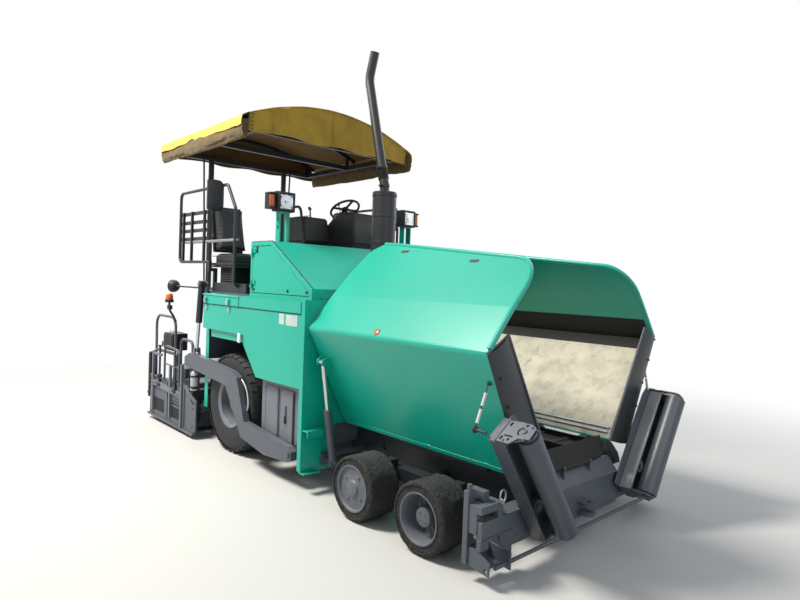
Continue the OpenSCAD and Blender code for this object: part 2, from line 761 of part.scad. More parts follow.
module bogies() {
    z0 = 300;
    z1 = 390;
    on_ground() color(grey) both_sides() difference() {
        union() {
            side_profile(700, 815, [
                [bogie_x - front_gap / 2 - 70, z0], [bogie_x - 90, z0 - 30], [bogie_x + 90, z0 - 30],
                [bogie_x + front_gap / 2 + 70, z0], [bogie_x + front_gap / 2 + 70, z1],
                [bogie_x - front_gap / 2 - 70, z1]
            ]);
            for (x = [bogie_x - front_gap / 2, bogie_x + front_gap / 2]) {
                block([x - 45, 780, ear_low_z], [x + 45, 815, ear_high_z - 20]);
                for (z = [ear_low_z, ear_high_z - 36]) {
                    bar_z([x, kingpin_y, z], 36, 110);
                    block([x - 45, 780, z], [x + 45, kingpin_y, z + 36]);
                }
            }
        }
        bar_y([bogie_x, 650, bogie_pin_z], 250, bogie_pin_d + 0.6);
        for (x = [bogie_x - front_gap / 2, bogie_x + front_gap / 2])
            bar_z([x, kingpin_y, ear_low_z - 10], 400, kingpin_d + 2 * run);
    }
}

function front_axle_x(axle) = front_x - (axle - 1) * front_gap;

module knuckle(side, axle) {
    x = front_axle_x(axle);
    z = front_tyre_d / 2;
    on_ground() color(grey) on_side(side) {
        bar_z([x, kingpin_y, ear_low_z - 6], ear_high_z - ear_low_z + 12, kingpin_d);
        bar_z([x, kingpin_y, ear_low_z + 42], ear_high_z - ear_low_z - 84, 96);
        bar_y([x, kingpin_y, z], 270, stub_d);
    }
}

// Solid tyre on a steel rim; the foremost has a deep dish, the second a flat cover plate
module front_wheel(side, axle) {
    x = front_axle_x(axle);
    r = front_tyre_d / 2;
    w = front_tyre_w / 2;
    rim = front_rim_d / 2;
    hub = stub_d / 2 + run;
    on_ground() color(rubber) on_side(side) translate([x, front_face_y - w, r]) rotate([-90, 0, 0]) {
        rotate_extrude($fn = 72) polygon(concat(
            rounded([[rim - 14, -w + 6], [r - 6, -w], [r, 0], [r - 6, w], [rim - 14, w - 6]], 24, 3),
            [[rim - 16, w - 12], [rim - 16, -w + 12]]
        ));
        rotate_extrude($fn = 72)
            polygon([[hub + 10, 0], [rim - 10, 0], [rim - 10, 16], [hub + 10, 16]]);
        rotate_extrude($fn = 72)
            polygon([[hub, -60], [hub + 34, -60], [hub + 34, 100], [0, 100], [0, 78], [hub, 78]]);
        if (axle == 2) {
            translate([0, 0, w - 34]) cylinder(h = 14, r = rim - 10);
            translate([0, 0, w - 21]) cylinder(h = 18, r = 62);
        }
        else for (a = [0 : 60 : 300]) rotate([0, 0, a])
            block([hub + 30, -6, -30], [rim - 10, 6, 60]);
    }
}

// Hopper wings

wing_foot = [442, 702];
wing_keel = [770, 616];
wing_knuckle = [knuckle_y, knuckle_z];
flap_slope = unit([-0.646, 0.763]);
flap_crease = wing_knuckle + 395 * flap_slope;
flap_end = wing_knuckle + (flap_rear + 60) * turned(flap_slope, [0, 0], 2);
wing_path = [wing_foot, wing_keel, wing_knuckle, flap_crease, flap_end];
flap_front_z = knuckle_z + flap_front * flap_slope[1];
flap_rear_z = knuckle_z + flap_rear * flap_slope[1];

// The wing seen from the side, with its sloping top edge and rounded front corner
function wing_side_outline() = concat(
    [[wing_front_x, 400], [wing_rear_x, 400], [wing_rear_x, 2040]],
    corner_arc([wing_rear_x, 2040], [wing_rear_x + 40, 2250], [wing_rear_x + 190, flap_rear_z], 90, 4),
    corner_arc([wing_rear_x + 190, flap_rear_z], [wing_front_x, flap_front_z],
               [wing_front_x, 1500], flap_corner_r, 8)
);

module wing_skin(side) on_ground() color(green) on_side(side) {
    intersection() {
        cross_profile(wing_rear_x, wing_front_x, bent_sheet(rounded(wing_path, 40, 3), skin_t));
        side_profile(0, 1400, wing_side_outline());
    }
    for (x = hinge_xs) difference() {
        union() {
            bar_x([x, wing_pivot_y, wing_pivot_z], hinge_len, hinge_d + 24);
            block([x, wing_pivot_y - 12, wing_pivot_z], [x + hinge_len, wing_pivot_y + 12, 697]);
        }
        bar_x([x - 1, wing_pivot_y, wing_pivot_z], hinge_len + 2, hinge_d + 2 * run);
    }
    for (x = [wing_cyl_x - 44, wing_cyl_x + 28]) {
        bar_x([x, rod_eye[0], rod_eye[1]], 16, 76);
        cross_profile(x, x + 16, [
            [1035, 1160], [rod_eye[0] + 18, rod_eye[1] - 33], [rod_eye[0] + 8, rod_eye[1] + 37],
            [1087, 1266]
        ]);
    }
}

module wing_liner(side) {
    inner = shifted([wing_foot, wing_keel, wing_knuckle], skin_t + 0.5);
    floor_way = unit(wing_keel - wing_foot);
    skin_way = unit(wing_knuckle - wing_keel);
    foot = inner[0];
    top = inner[2] - 45 * skin_way;
    along = unit(top - foot);
    under = [along[1], -along[0]];
    on_ground() color(dust) on_side(side) difference() {
        cross_profile(wing_rear_x, wing_front_x, [
            foot, inner[1] - 34 * floor_way, inner[1] + 34 * skin_way, top
        ]);
        cross_profile(wing_rear_x + 20, wing_front_x - 20, [
            foot + liner_t * under - 300 * along, foot + 900 * under - 300 * along,
            top + 900 * under + 300 * along, top + liner_t * under + 300 * along
        ]);
    }
}

// Hydraulic cylinder of a wing: barrel pivot and rod eye in Y and Z
wing_cyl_x = wing_rear_x + 115;
barrel_foot = [980, 280];
rod_eye = [1130, 1220];

module wing_barrel(side) {
    axis = unit(rod_eye - barrel_foot);
    head = barrel_foot + 505 * axis;
    on_ground() color(grey) on_side(side) difference() {
        union() {
            rod([wing_cyl_x, barrel_foot[0], barrel_foot[1]], [wing_cyl_x, head[0], head[1]], 74);
            bar_x([wing_cyl_x - 26, barrel_foot[0], barrel_foot[1]], 52, 84);
        }
        rod([wing_cyl_x, (barrel_foot + 60 * axis)[0], (barrel_foot + 60 * axis)[1]],
            [wing_cyl_x, (head + 10 * axis)[0], (head + 10 * axis)[1]], 42 + 2 * run);
        bar_x([wing_cyl_x - 40, barrel_foot[0], barrel_foot[1]], 80, 40 + 2 * run);
    }
}

module wing_rod(side) {
    axis = unit(rod_eye - barrel_foot);
    start = rod_eye - 485 * axis;
    stop = rod_eye - 30 * axis;
    on_ground() color(steel) on_side(side) {
        rod([wing_cyl_x, start[0], start[1]], [wing_cyl_x, stop[0], stop[1]], 42);
        bar_x([wing_cyl_x - 22, rod_eye[0], rod_eye[1]], 44, 64);
    }
}

// Push rollers, folded up against the front

arm_along = [cos(roller_lean), sin(roller_lean)];
arm_tail = -245;
arm_head = roller_len + arm_tail + 65;
roller_offset = 33;

// Children are drawn with X along the roller and Y across it, from the arm's pivot
module in_arm_frame() {
    multmatrix([
        [0, 0, 1, 0],
        [arm_along[0], -arm_along[1], 0, arm_pivot_y],
        [arm_along[1], arm_along[0], 0, arm_pivot_z],
        [0, 0, 0, 1]
    ])
        children();
}

module roller_arm(side) {
    tray_x0 = beam_x1 + 20;
    tray_x1 = tray_x0 + 118;
    on_ground() color(grey) on_side(side) difference() {
        union() {
            in_arm_frame() {
                translate([arm_tail, -90, tray_x0]) cube([arm_head - arm_tail, 190, 12]);
                for (y = [-90, 88])
                    translate([arm_tail, y, tray_x0]) cube([arm_head - arm_tail, 12, 118]);
                for (u = [arm_tail, arm_head - 18]) {
                    translate([u, -90, tray_x0]) cube([18, 190, 130]);
                    translate([u, roller_offset, roller_x]) rotate([0, 90, 0]) cylinder(h = 18, d = 120);
                    translate([u, roller_offset - 60, tray_x0 + 60]) cube([18, 120, roller_x - tray_x0 - 60]);
                }
            }
            bar_x([tray_x0, arm_pivot_y, arm_pivot_z], 90, 100);
        }
        bar_x([tray_x0 - 5, arm_pivot_y, arm_pivot_z], 140, 50 + 2 * run);
        in_arm_frame() {
            translate([arm_tail - 5, roller_offset, roller_x]) rotate([0, 90, 0])
                cylinder(h = arm_head - arm_tail + 10, d = 40 + 2 * run);
            // Slots and holes of the head plate
            for (y = [-58, 70]) translate([arm_head - 25, y, tray_x0 + 24]) cube([30, 14, 62]);
            for (x = [tray_x0 + 30, tray_x0 + 84]) translate([arm_head - 25, 8, x])
                rotate([0, 90, 0]) cylinder(h = 30, d = 18);
        }
    }
}

module push_roller(side) {
    on_ground() color(grey) on_side(side) in_arm_frame() {
        translate([arm_tail + 24, roller_offset, roller_x]) rotate([0, 90, 0])
            cylinder(h = arm_head - arm_tail - 48, d = roller_d);
        translate([arm_tail - 4, roller_offset, roller_x]) rotate([0, 90, 0])
            cylinder(h = arm_head - arm_tail + 8, d = 40);
    }
}

module front_apron() on_ground() color(rubber) difference() {
    union() {
        side_profile(-410, 410, [
            [apron_x - 8, apron_z], [apron_x - 46, 735], [apron_x - 34, 738], [apron_x + 8, apron_z]
        ]);
        bar_y([apron_x, -170, apron_z], 340, 36);
    }
    bar_y([apron_x, -420, apron_z], 840, 20 + 2 * run);
    both_sides() block([apron_x - 60, 174, 500], [apron_x + 60, 206, apron_z + 26]);
    both_sides() block([apron_x - 60, 173, 500], [apron_x + 60, 412, apron_z + 8]);
}

// Screed and its augers

auger_x = -775;
auger_z = 340;
arm_y0 = 1185;
arm_y1 = 1255;

module auger(side) on_ground() color(steel) on_side(side) {
    length = 1120;
    r = auger_d / 2;
    translate([auger_x, 24.6, auger_z]) rotate([-90, 0, 0])
        linear_extrude(height = length, twist = 360 * length / auger_pitch, slices = 72, $fn = 8) {
            circle(r = 46, $fn = 10);
            polygon([[30, -5], [r, -24], [r, 24], [30, 5]]);
        }
}

module tow_arms() on_ground() color(grey) both_sides() {
    difference() {
        side_profile(arm_y0, arm_y1, [
            [-1007, 959], [-860, 1018], [-714, 1017], [228, 938], [347, 889], [529, 454],
            [929, 421], [tow_x, 388], [tow_x + 55, 350], [tow_x + 55, 270], [tow_x, 245],
            [942, 211], [472, 281], [92, 770], [-704, 830], [-1007, 850]
        ]);
        bar_y([tow_x, arm_y0 - 5, tow_z], 90, tow_pin_d + 2 * run);
    }
    // Eye of the lift cylinder on top of the arm
    for (y = [arm_y0, arm_y1 - 8])
        side_profile(y, y + 8, [
            [lift_eye[0] - 40, 1000], [lift_eye[0] - 24, lift_eye[1] + 26],
            [lift_eye[0] + 24, lift_eye[1] + 26], [lift_eye[0] + 40, 1000]
        ]);
}

module screed_main() on_ground() color(grey) {
    rear = screed_mid_x;
    top = sole_z + screed_h;
    difference() {
        block([rear, -screed_y, sole_z], [screed_front_x, screed_y, top]);
        block([rear + 14, -screed_y + 14, sole_z + 40],
              [screed_front_x - 14, screed_y - 14, top - 14]);
    }
    both_sides() {
        block([-1007, 1100, top - 1], [-900, arm_y0, 1000]);
        tube([[-1420, 1130, top - 10], [-1420, 1130, 1130], [-1060, 1130, 1130],
              [-1060, 1130, top - 10]], 34, 80);
        block([rear, 200, top - 1], [-1100, 1050, top + 60]);
    }
}

// Bolt holes that take a bolt-on widening piece
widening_at = [(screed_rear_x + screed_mid_x) / 2, 300];
widening_span = [360, 240];
widening_hole_d = 22;

module widening_holes() {
    for (dx = [-0.5, 0.5], dz = [-0.5, 0.5])
        bar_y([widening_at[0] + dx * widening_span[0], screed_y - 30,
               widening_at[1] + dz * widening_span[1]], 60, widening_hole_d);
}

module extension(side) on_ground() color(grey) on_side(side) {
    top = sole_z + screed_h;
    front = screed_mid_x - gap;
    difference() {
        block([screed_rear_x, 20, sole_z], [front, screed_y + 1, top]);
        block([screed_rear_x + 14, 34, sole_z + 40], [front - 14, screed_y - 14, top - 14]);
        widening_holes();
    }
    block([tail_x, 20, 300], [screed_rear_x + 1, screed_y, 325]);
    // End gate with its slot
    difference() {
        side_profile(screed_y + 0.4, screed_y + gap + 10, [
            [-2130, 62], [-1000, 50], [-700, 46], [-655, 100], [-648, 455], [-1013, 600],
            [-2110, 600]
        ]);
        block([-1440, screed_y - 10, 300], [-1100, screed_y + gap + 20, 360]);
        widening_holes();
    }
    // Guard loop and plank
    tube([[-2200, 1150, top - 10], [-2225, 1150, 1395], [-1560, 1150, 1395],
          [-1560, 1150, top - 10]], 34, 140);
    block([-2215, 1135, 900], [-1550, 1165, 935]);
    block([screed_rear_x + 60, 100, top - 1], [front - 60, 1000, top + 180]);
}

module lift_barrels() {
    axis = unit(lift_eye - lift_top);
    low = lift_top + 456 * axis;
    bore = lift_top + 60 * axis;
    past = lift_top + 466 * axis;
    on_ground() color(grey) both_sides() difference() {
        union() {
            rod([lift_top[0], lift_y, lift_top[1]], [low[0], lift_y, low[1]], 76);
            bar_y([lift_top[0], lift_y - 30, lift_top[1]], 60, 92);
        }
        rod([bore[0], lift_y, bore[1]], [past[0], lift_y, past[1]], 42 + 2 * run);
        bar_y([lift_top[0], lift_y - 40, lift_top[1]], 80, 50 + 2 * run);
    }
}

module lift_rods() {
    axis = unit(lift_eye - lift_top);
    start = lift_eye - 410 * axis;
    stop = lift_eye - 10 * axis;
    on_ground() color(steel) both_sides() {
        rod([start[0], lift_y, start[1]], [stop[0], lift_y, stop[1]], 42);
        bar_y([lift_eye[0], lift_y - 20, lift_eye[1]], 40, 52);
    }
}

chassis_frame();
outriggers();
conveyor();
front_crossmember();
bulkhead();
body_sides();
lid(RIGHT);  // lid_right
lid(LEFT);  // lid_left
hood();
hood_door(RIGHT);  // hood_door_right
hood_door(LEFT);  // hood_door_left
engine_block();
side_tanks();
platform();
console();
seat_carrier(RIGHT);  // seat_carrier_right
seat_carrier(LEFT);  // seat_carrier_left
seat(RIGHT);  // seat_right
seat(LEFT);  // seat_left
headlamps();
exhaust();
canopy_frame();
canopy_cover();
awnings();
wheel_drives();
bogies();
knuckle(RIGHT, 1);  // knuckle_1_right
knuckle(LEFT, 1);  // knuckle_1_left
knuckle(RIGHT, 2);  // knuckle_2_right
knuckle(LEFT, 2);  // knuckle_2_left
front_wheel(RIGHT, 1);  // front_wheel_1_right
front_wheel(LEFT, 1);  // front_wheel_1_left
front_wheel(RIGHT, 2);  // front_wheel_2_right
front_wheel(LEFT, 2);  // front_wheel_2_left
rear_tyre(RIGHT);  // rear_tyre_right
rear_tyre(LEFT);  // rear_tyre_left
rear_rim(RIGHT);  // rear_rim_right
rear_rim(LEFT);  // rear_rim_left
wing_skin(RIGHT);  // wing_skin_right
wing_skin(LEFT);  // wing_skin_left
wing_liner(RIGHT);  // wing_liner_right
wing_liner(LEFT);  // wing_liner_left
wing_barrel(RIGHT);  // wing_barrel_right
wing_barrel(LEFT);  // wing_barrel_left
wing_rod(RIGHT);  // wing_rod_right
wing_rod(LEFT);  // wing_rod_left
roller_arm(RIGHT);  // roller_arm_right
roller_arm(LEFT);  // roller_arm_left
push_roller(RIGHT);  // push_roller_right
push_roller(LEFT);  // push_roller_left
front_apron();
auger(RIGHT);  // auger_right
auger(LEFT);  // auger_left
tow_arms();
screed_main();
extension(RIGHT);  // extension_right
extension(LEFT);  // extension_left
lift_barrels();
lift_rods();
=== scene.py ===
"""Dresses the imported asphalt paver: paint, canvas, rubber, tread, fittings, light and camera.

Every spot below is in metres, measured from the middle of the rear axle on the ground: X forward
to the push rollers, Y to the machine's left and Z up. AXLE_X moves it into the shared frame.
"""

import logging
import math
import random
from dataclasses import dataclass
from enum import Enum
from typing import Iterator, Sequence

import bmesh
import bpy
from mathutils import Matrix, Vector, noise


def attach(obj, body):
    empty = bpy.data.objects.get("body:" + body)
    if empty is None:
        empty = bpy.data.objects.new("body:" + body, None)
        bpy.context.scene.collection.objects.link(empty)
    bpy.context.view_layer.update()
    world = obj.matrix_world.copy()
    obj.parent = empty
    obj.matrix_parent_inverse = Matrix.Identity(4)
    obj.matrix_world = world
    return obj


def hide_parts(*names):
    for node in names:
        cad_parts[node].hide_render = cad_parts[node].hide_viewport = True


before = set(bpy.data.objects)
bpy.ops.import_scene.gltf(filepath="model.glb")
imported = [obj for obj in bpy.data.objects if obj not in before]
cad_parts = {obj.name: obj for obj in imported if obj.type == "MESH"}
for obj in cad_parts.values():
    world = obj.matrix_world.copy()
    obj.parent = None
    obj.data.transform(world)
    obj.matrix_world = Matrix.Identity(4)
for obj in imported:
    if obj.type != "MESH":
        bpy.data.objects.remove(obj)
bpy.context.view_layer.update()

LOG = logging.getLogger("paver")
AXLE_X = -0.859
AHEAD, ACROSS, UP = (1, 0, 0), (0, 1, 0), (0, 0, 1)
FRONT_AXLES = ((1, 3.120), (2, 2.350))
Spot = Sequence[float]
Tree = bpy.types.NodeTree
Node = bpy.types.Node
Socket = bpy.types.NodeSocket


class Side(Enum):
    """The machine's two sides; the value is the sign of Y."""

    RIGHT = -1.0
    LEFT = 1.0

    @property
    def word(self) -> str:
        """The side's name as the nodes and bodies spell it."""
        return self.name.lower()


class Grain(Enum):
    """How a finish's surface was made, which decides its fine relief."""

    SPRAYED = "sprayed"
    CAST = "cast"
    ROLLED = "rolled"
    WOVEN = "woven"
    LEATHER = "leather"
    MOULDED = "moulded"
    CRUST = "crust"
    SMOOTH = "smooth"


def linear(colour: str) -> tuple[float, float, float, float]:
    """Turn an sRGB hex colour into linear RGBA.

    Args:
        colour: six hex digits with a leading hash.

    Returns:
        The linear colour with full alpha.
    """
    parts = [int(colour[i : i + 2], 16) / 255 for i in (1, 3, 5)]
    r, g, b = (p / 12.92 if p <= 0.04045 else ((p + 0.055) / 1.055) ** 2.4 for p in parts)
    return (r, g, b, 1.0)


def add_node(tree: Tree, kind: str, settings: dict | None = None, links: dict | None = None) -> Node:
    """Add a shader node, set it up and link its inputs.

    Args:
        tree: the material's node tree.
        kind: the node's type name.
        settings: attribute names or input names or numbers, with their values.
        links: input names or numbers, with the output socket that feeds each.

    Returns:
        The new node.
    """
    node = tree.nodes.new(kind)
    for key, value in (settings or {}).items():
        if isinstance(key, str) and hasattr(node, key):
            setattr(node, key, value)
        else:
            node.inputs[key].default_value = value
    for key, socket in (links or {}).items():
        tree.links.new(socket, node.inputs[key])
    return node


@dataclass(frozen=True)
class Pattern:
    """A material's node tree with the coordinates that its patterns are drawn in."""

    tree: Tree
    where: Socket

    def add(self, kind: str, settings: dict | None = None, links: dict | None = None) -> Node:
        """Add a node to the tree, as add_node does."""
        return add_node(self.tree, kind, settings, links)

    def patches(self, size: float, low: float, high: float, stretch: Spot = (1, 1, 1)) -> Socket:
        """Make a soft mask of irregular patches.

        Args:
            size: a patch's size in metres.
            low: the noise value that starts the mask.
            high: the noise value that fills it.
            stretch: scale of the pattern along each axis.

        Returns:
            A value socket from 0 to 1.
        """
        spread = self.add("ShaderNodeMapping", {"Scale": stretch}, {"Vector": self.where})
        cloud = self.add("ShaderNodeTexNoise", {"Scale": 1 / size, "Detail": 6.0, "Roughness": 0.62},
                         {"Vector": spread.outputs["Vector"]})
        return self.add("ShaderNodeMapRange",
                        {"From Min": low, "From Max": high, "interpolation_type": "SMOOTHSTEP"},
                        {"Value": cloud.outputs["Fac"]}).outputs["Result"]

    def times(self, first: Socket, second: Socket | float, operation: str = "MULTIPLY") -> Socket:
        """Combine two values with a math operation, clamped.

        Args:
            first: the first value.
            second: the second value, a socket or a number.
            operation: the math node's operation.

        Returns:
            The result socket.
        """
        node = self.add("ShaderNodeMath", {"operation": operation, "use_clamp": True}, {0: first})
        if isinstance(second, float):
            node.inputs[1].default_value = second
        else:
            self.tree.links.new(second, node.inputs[1])
        return node.outputs["Value"]

    def mixed(self, share: Socket, base: Socket | str, over: str) -> Socket:
        """Lay one colour over another by a mask.

        Args:
            share: how much of the upper colour shows.
            base: the lower colour, a socket or a hex colour.
            over: the upper colour.

        Returns:
            The colour socket.
        """
        node = self.add("ShaderNodeMix", {"data_type": "RGBA", 7: linear(over)}, {0: share})
        if isinstance(base, str):
            node.inputs[6].default_value = linear(base)
        else:
            self.tree.links.new(base, node.inputs[6])
        return node.outputs[2]


@dataclass(frozen=True)
class Finish:
    """One real material with the way its surface was made and how it has aged.

    Sizes are in metres. Wear shows another colour along edges, dust lies on what faces up,
    and grime gathers in patches and runs down in streaks.
    """

    name: str
    colour: str
    roughness: float
    grain: Grain = Grain.SPRAYED
    metallic: float = 0.0
    ior: float = 1.5
    coat: float = 0.0
    sheen: float = 0.0
    tone: float = 0.12
    patch: float = 0.35
    dust: str = "#a9a8a3"
    dusting: float = 0.3
    grime: str = "#25272a"
    griming: float = 0.2
    wear: str = "#8d8f90"
    wearing: float = 0.0
    rounding: float = 0.004
    relief: float = 0.0004
    pitch: float = 0.004
    transmission: float = 0.0
    specks: float = 0.0

    def material(self) -> bpy.types.Material:
        """Return the finish's material, building it on the first call.

        Returns:
            The node-based material.
        """
        found = bpy.data.materials.get(self.name)
        if found is not None:
            return found
        made = bpy.data.materials.new(self.name)
        made.use_nodes = True
        made.diffuse_color = linear(self.colour)
        tree = made.node_tree
        tree.nodes.clear()
        draw = Pattern(tree, add_node(tree, "ShaderNodeTexCoord").outputs["Object"])
        soft_edge = draw.add("ShaderNodeBevel", {"samples": 4, "Radius": self.rounding})
        colour, rough, metal = self._weathered(draw, soft_edge)
        normal = self._relief(draw, soft_edge.outputs["Normal"])
        shader = draw.add(
            "ShaderNodeBsdfPrincipled",
            {"Coat Weight": self.coat, "Coat Roughness": 0.12, "Sheen Weight": self.sheen,
             "Transmission Weight": self.transmission},
            {"Base Color": colour, "Roughness": rough, "Normal": normal},
        )
        if self.metallic < 1.0:
            shader.inputs["IOR"].default_value = self.ior
        if self.wearing > 0 and self.metallic < 1.0:
            tree.links.new(metal, shader.inputs["Metallic"])
        else:
            shader.inputs["Metallic"].default_value = self.metallic
        draw.add("ShaderNodeOutputMaterial", None, {"Surface": shader.outputs["BSDF"]})
        return made

    def _weathered(self, draw: Pattern, soft_edge: Node) -> tuple[Socket, Socket, Socket]:
        """Build the aged colour, roughness and metallic values.

        Args:
            draw: the material's patterns.
            soft_edge: the node that rounds edges, whose normal also finds them.

        Returns:
            The colour, roughness and metallic sockets.
        """
        facing = draw.add("ShaderNodeNewGeometry").outputs["Normal"]
        up = draw.add("ShaderNodeSeparateXYZ", None, {"Vector": facing}).outputs["Z"]
        shade = draw.patches(self.patch, 0.3, 0.7)
        tinted = draw.add("ShaderNodeHueSaturation", {"Color": linear(self.colour)},
                          {"Value": draw.add("ShaderNodeMapRange",
                                             {"To Min": 1 - self.tone, "To Max": 1 + self.tone},
                                             {"Value": shade}).outputs["Result"]}).outputs["Color"]
        streaks = draw.patches(0.09, 0.52, 0.78, (1, 1, 0.12))
        blots = draw.patches(0.5, 0.42, 0.72)
        dirt = draw.times(draw.times(streaks, blots), self.griming * 2.2)
        colour = draw.mixed(dirt, tinted, self.grime)
        if self.specks:
            grains = draw.patches(0.012, 0.60, 0.67)
            smears = draw.patches(0.13, 0.46, 0.66)
            grit = draw.times(grains, draw.times(smears, 0.5, "ADD"))
            colour = draw.mixed(draw.times(grit, self.specks), colour, self.grime)
            colour = draw.mixed(draw.times(smears, self.specks * 0.28), colour, self.grime)
        flat = draw.add("ShaderNodeMapRange",
                        {"From Min": 0.15, "From Max": 0.95, "interpolation_type": "SMOOTHSTEP"},
                        {"Value": up}).outputs["Result"]
        drift = draw.times(draw.patches(0.6, 0.25, 0.8), 0.7)
        specks = draw.times(draw.patches(0.015, 0.2, 0.9), 0.5)
        powder = draw.times(drift, specks, "ADD")
        haze = draw.times(draw.times(flat, 0.8), 0.18, "ADD")
        dusty = draw.times(draw.times(haze, powder), self.dusting)
        colour = draw.mixed(dusty, colour, self.dust)
        bare = draw.times(shade, 0.0)
        if self.wearing > 0:
            across = draw.add("ShaderNodeVectorMath", {"operation": "DOT_PRODUCT"},
                              {0: soft_edge.outputs["Normal"], 1: facing}).outputs["Value"]
            edge = draw.add("ShaderNodeMapRange", {"From Min": 0.985, "From Max": 0.9},
                            {"Value": across}).outputs["Result"]
            rubbed = draw.patches(0.03, 0.42, 0.6)
            bare = draw.times(draw.times(edge, rubbed), self.wearing)
            colour = draw.mixed(bare, colour, self.wear)
        rough = draw.add("ShaderNodeMapRange",
                         {"To Min": self.roughness, "To Max": min(1.0, self.roughness + 0.4)},
                         {"Value": draw.times(dusty, dirt, "ADD")}).outputs["Result"]
        metal = draw.times(bare, self.metallic, "ADD") if self.metallic else bare
        return colour, rough, metal

    def _relief(self, draw: Pattern, normal: Socket) -> Socket:
        """Build the fine relief of the surface.

        Args:
            draw: the material's patterns.
            normal: the rounded normal that the relief starts from.

        Returns:
            The normal socket for the shader.
        """
        if self.grain is Grain.SMOOTH:
            return normal
        if self.grain is Grain.WOVEN:
            threads = [
                draw.add("ShaderNodeTexWave",
                         {"wave_type": "BANDS", "bands_direction": way, "Scale": 0.31 / self.pitch,
                          "Distortion": 0.4, "Detail": 1.0},
                         {"Vector": draw.where},
                         ).outputs["Fac"]
                for way in ("X", "DIAGONAL")
            ]
            height = draw.times(threads[0], threads[1])
        elif self.grain in (Grain.LEATHER, Grain.CRUST):
            height = draw.add("ShaderNodeTexVoronoi",
                              {"feature": "F1" if self.grain is Grain.CRUST else "DISTANCE_TO_EDGE",
                               "Scale": 1 / self.pitch, "Randomness": 1.0},
                              {"Vector": draw.where}).outputs["Distance"]
        else:
            stretch = (1, 1, 0.05) if self.grain is Grain.ROLLED else (1, 1, 1)
            spread = draw.add("ShaderNodeMapping", {"Scale": stretch}, {"Vector": draw.where})
            height = draw.add("ShaderNodeTexNoise",
                              {"Scale": 1 / self.pitch, "Detail": 4.0, "Roughness": 0.6},
                              {"Vector": spread.outputs["Vector"]}).outputs["Fac"]
        return draw.add("ShaderNodeBump", {"Strength": 1.0, "Distance": self.relief},
                        {"Height": height, "Normal": normal}).outputs["Normal"]


# Two-part enamel sprayed on folded steel: even and glossy under a thin haze of road dust
GREEN_ENAMEL = Finish(
    "green_enamel_sprayed_steel", "#00a892", 0.3, tone=0.04, patch=0.8, dusting=0.05,
    griming=0.05, wear="#3f5f58", wearing=0.2, relief=0.00008, pitch=0.012)
# Grey primer enamel on welded plate, satin, with dust on its upper faces
GREY_ENAMEL = Finish(
    "grey_enamel_sprayed_plate", "#4b525d", 0.42, tone=0.07, dusting=0.22, griming=0.16,
    wear="#7d7f80", wearing=0.25, relief=0.0002, pitch=0.01)
# Lighter primer of the tank covers and the screed's gates
PALE_GREY_ENAMEL = Finish(
    "light_grey_enamel_sprayed_sheet", "#666d78", 0.4, tone=0.06, dusting=0.2, griming=0.16,
    wear="#8b8d8e", wearing=0.25, relief=0.00015, pitch=0.01)
# Near-black enamel of tubes and frame plates, satin, its edges rubbed to bare steel
DARK_ENAMEL = Finish(
    "dark_grey_enamel_sprayed_tube", "#1a1f26", 0.45, tone=0.06, dusting=0.08, griming=0.1,
    wear="#5f6366", wearing=0.2, relief=0.0001, pitch=0.008)
# Wear plate of the hopper: bare steel under a film of dried dust, scratched by mix
LINER_PLATE = Finish(
    "steel_wear_plate_rolled", "#c9c2b0", 0.74, Grain.ROLLED, tone=0.12, patch=0.3, dusting=0.35,
    dust="#dcd5c5", griming=0.45, grime="#3e3b37", relief=0.0012, pitch=0.015, specks=0.9)
# Upper strip of the plate and the flap's inner face: black bitumen, and painted shade under the flap
LINER_BITUMEN_AND_SHADE = Finish(
    "steel_wear_plate_bitumen_painted_shade", "#131314", 0.75, Grain.CAST, tone=0.12, dusting=0.03,
    griming=0.2, relief=0.001, pitch=0.012)
# Forged slats and auger blades, dull brown-grey and pitted by hot mix
SLAT_STEEL = Finish(
    "steel_slats_forged", "#57544f", 0.5, Grain.CAST, metallic=0.5, dusting=0.3, griming=0.6,
    relief=0.0012, pitch=0.01)
# Enamel of the push rollers, rubbed through to pale steel where truck tyres press
ROLLER_STEEL = Finish(
    "grey_enamel_worn_tube", "#434953", 0.36, tone=0.06, dusting=0.14, griming=0.2,
    wear="#a9a59d", wearing=0.4, relief=0.0003, pitch=0.012)
# Enamel of the heated screed, duller and dirtier than the frame's
SCREED_STEEL = Finish(
    "grey_enamel_hot_steel", "#4d545e", 0.46, tone=0.1, dusting=0.24, griming=0.35,
    wear="#7d7f80", wearing=0.3, relief=0.0005, pitch=0.012)
# Hard-chromed piston rod, mirror-bright and wiped clean by its seal
CHROME_ROD = Finish(
    "steel_rod_hard_chromed", "#c9ccd0", 0.14, Grain.SMOOTH, metallic=1.0, tone=0.02,
    dusting=0.05, griming=0.05, rounding=0.001)
# Zinc-plated screws and dials, bright but softly clouded
ZINC_STEEL = Finish(
    "steel_zinc_plated", "#9fa3a6", 0.38, Grain.CAST, metallic=1.0, dusting=0.15, griming=0.2,
    rounding=0.002, relief=0.0001, pitch=0.004)
# Steel rubbed bright by what slides on it, its dark film left in the hollows
BRIGHT_STEEL = Finish(
    "steel_bar_scuffed_bright", "#8f9295", 0.5, Grain.ROLLED, metallic=0.6, dusting=0.1,
    griming=0.2, relief=0.0001)
# Wheel enamel, grey and dusty, chipped along the rim's edges
RIM_PAINT = Finish(
    "grey_enamel_wheel_rim", "#565c66", 0.45, tone=0.08, dusting=0.24, griming=0.3,
    wear="#8d8a84", wearing=0.3, relief=0.0003, pitch=0.008)
# Solid tyres that roll through fresh mix: black rubber with stone and bitumen pressed in
CRUSTED_RUBBER = Finish(
    "rubber_solid_tyre_crusted", "#222324", 0.88, Grain.CRUST, ior=1.45, tone=0.3, patch=0.05,
    dusting=0.3, dust="#6d6c69", griming=0.3, relief=0.006, pitch=0.016, rounding=0.006)
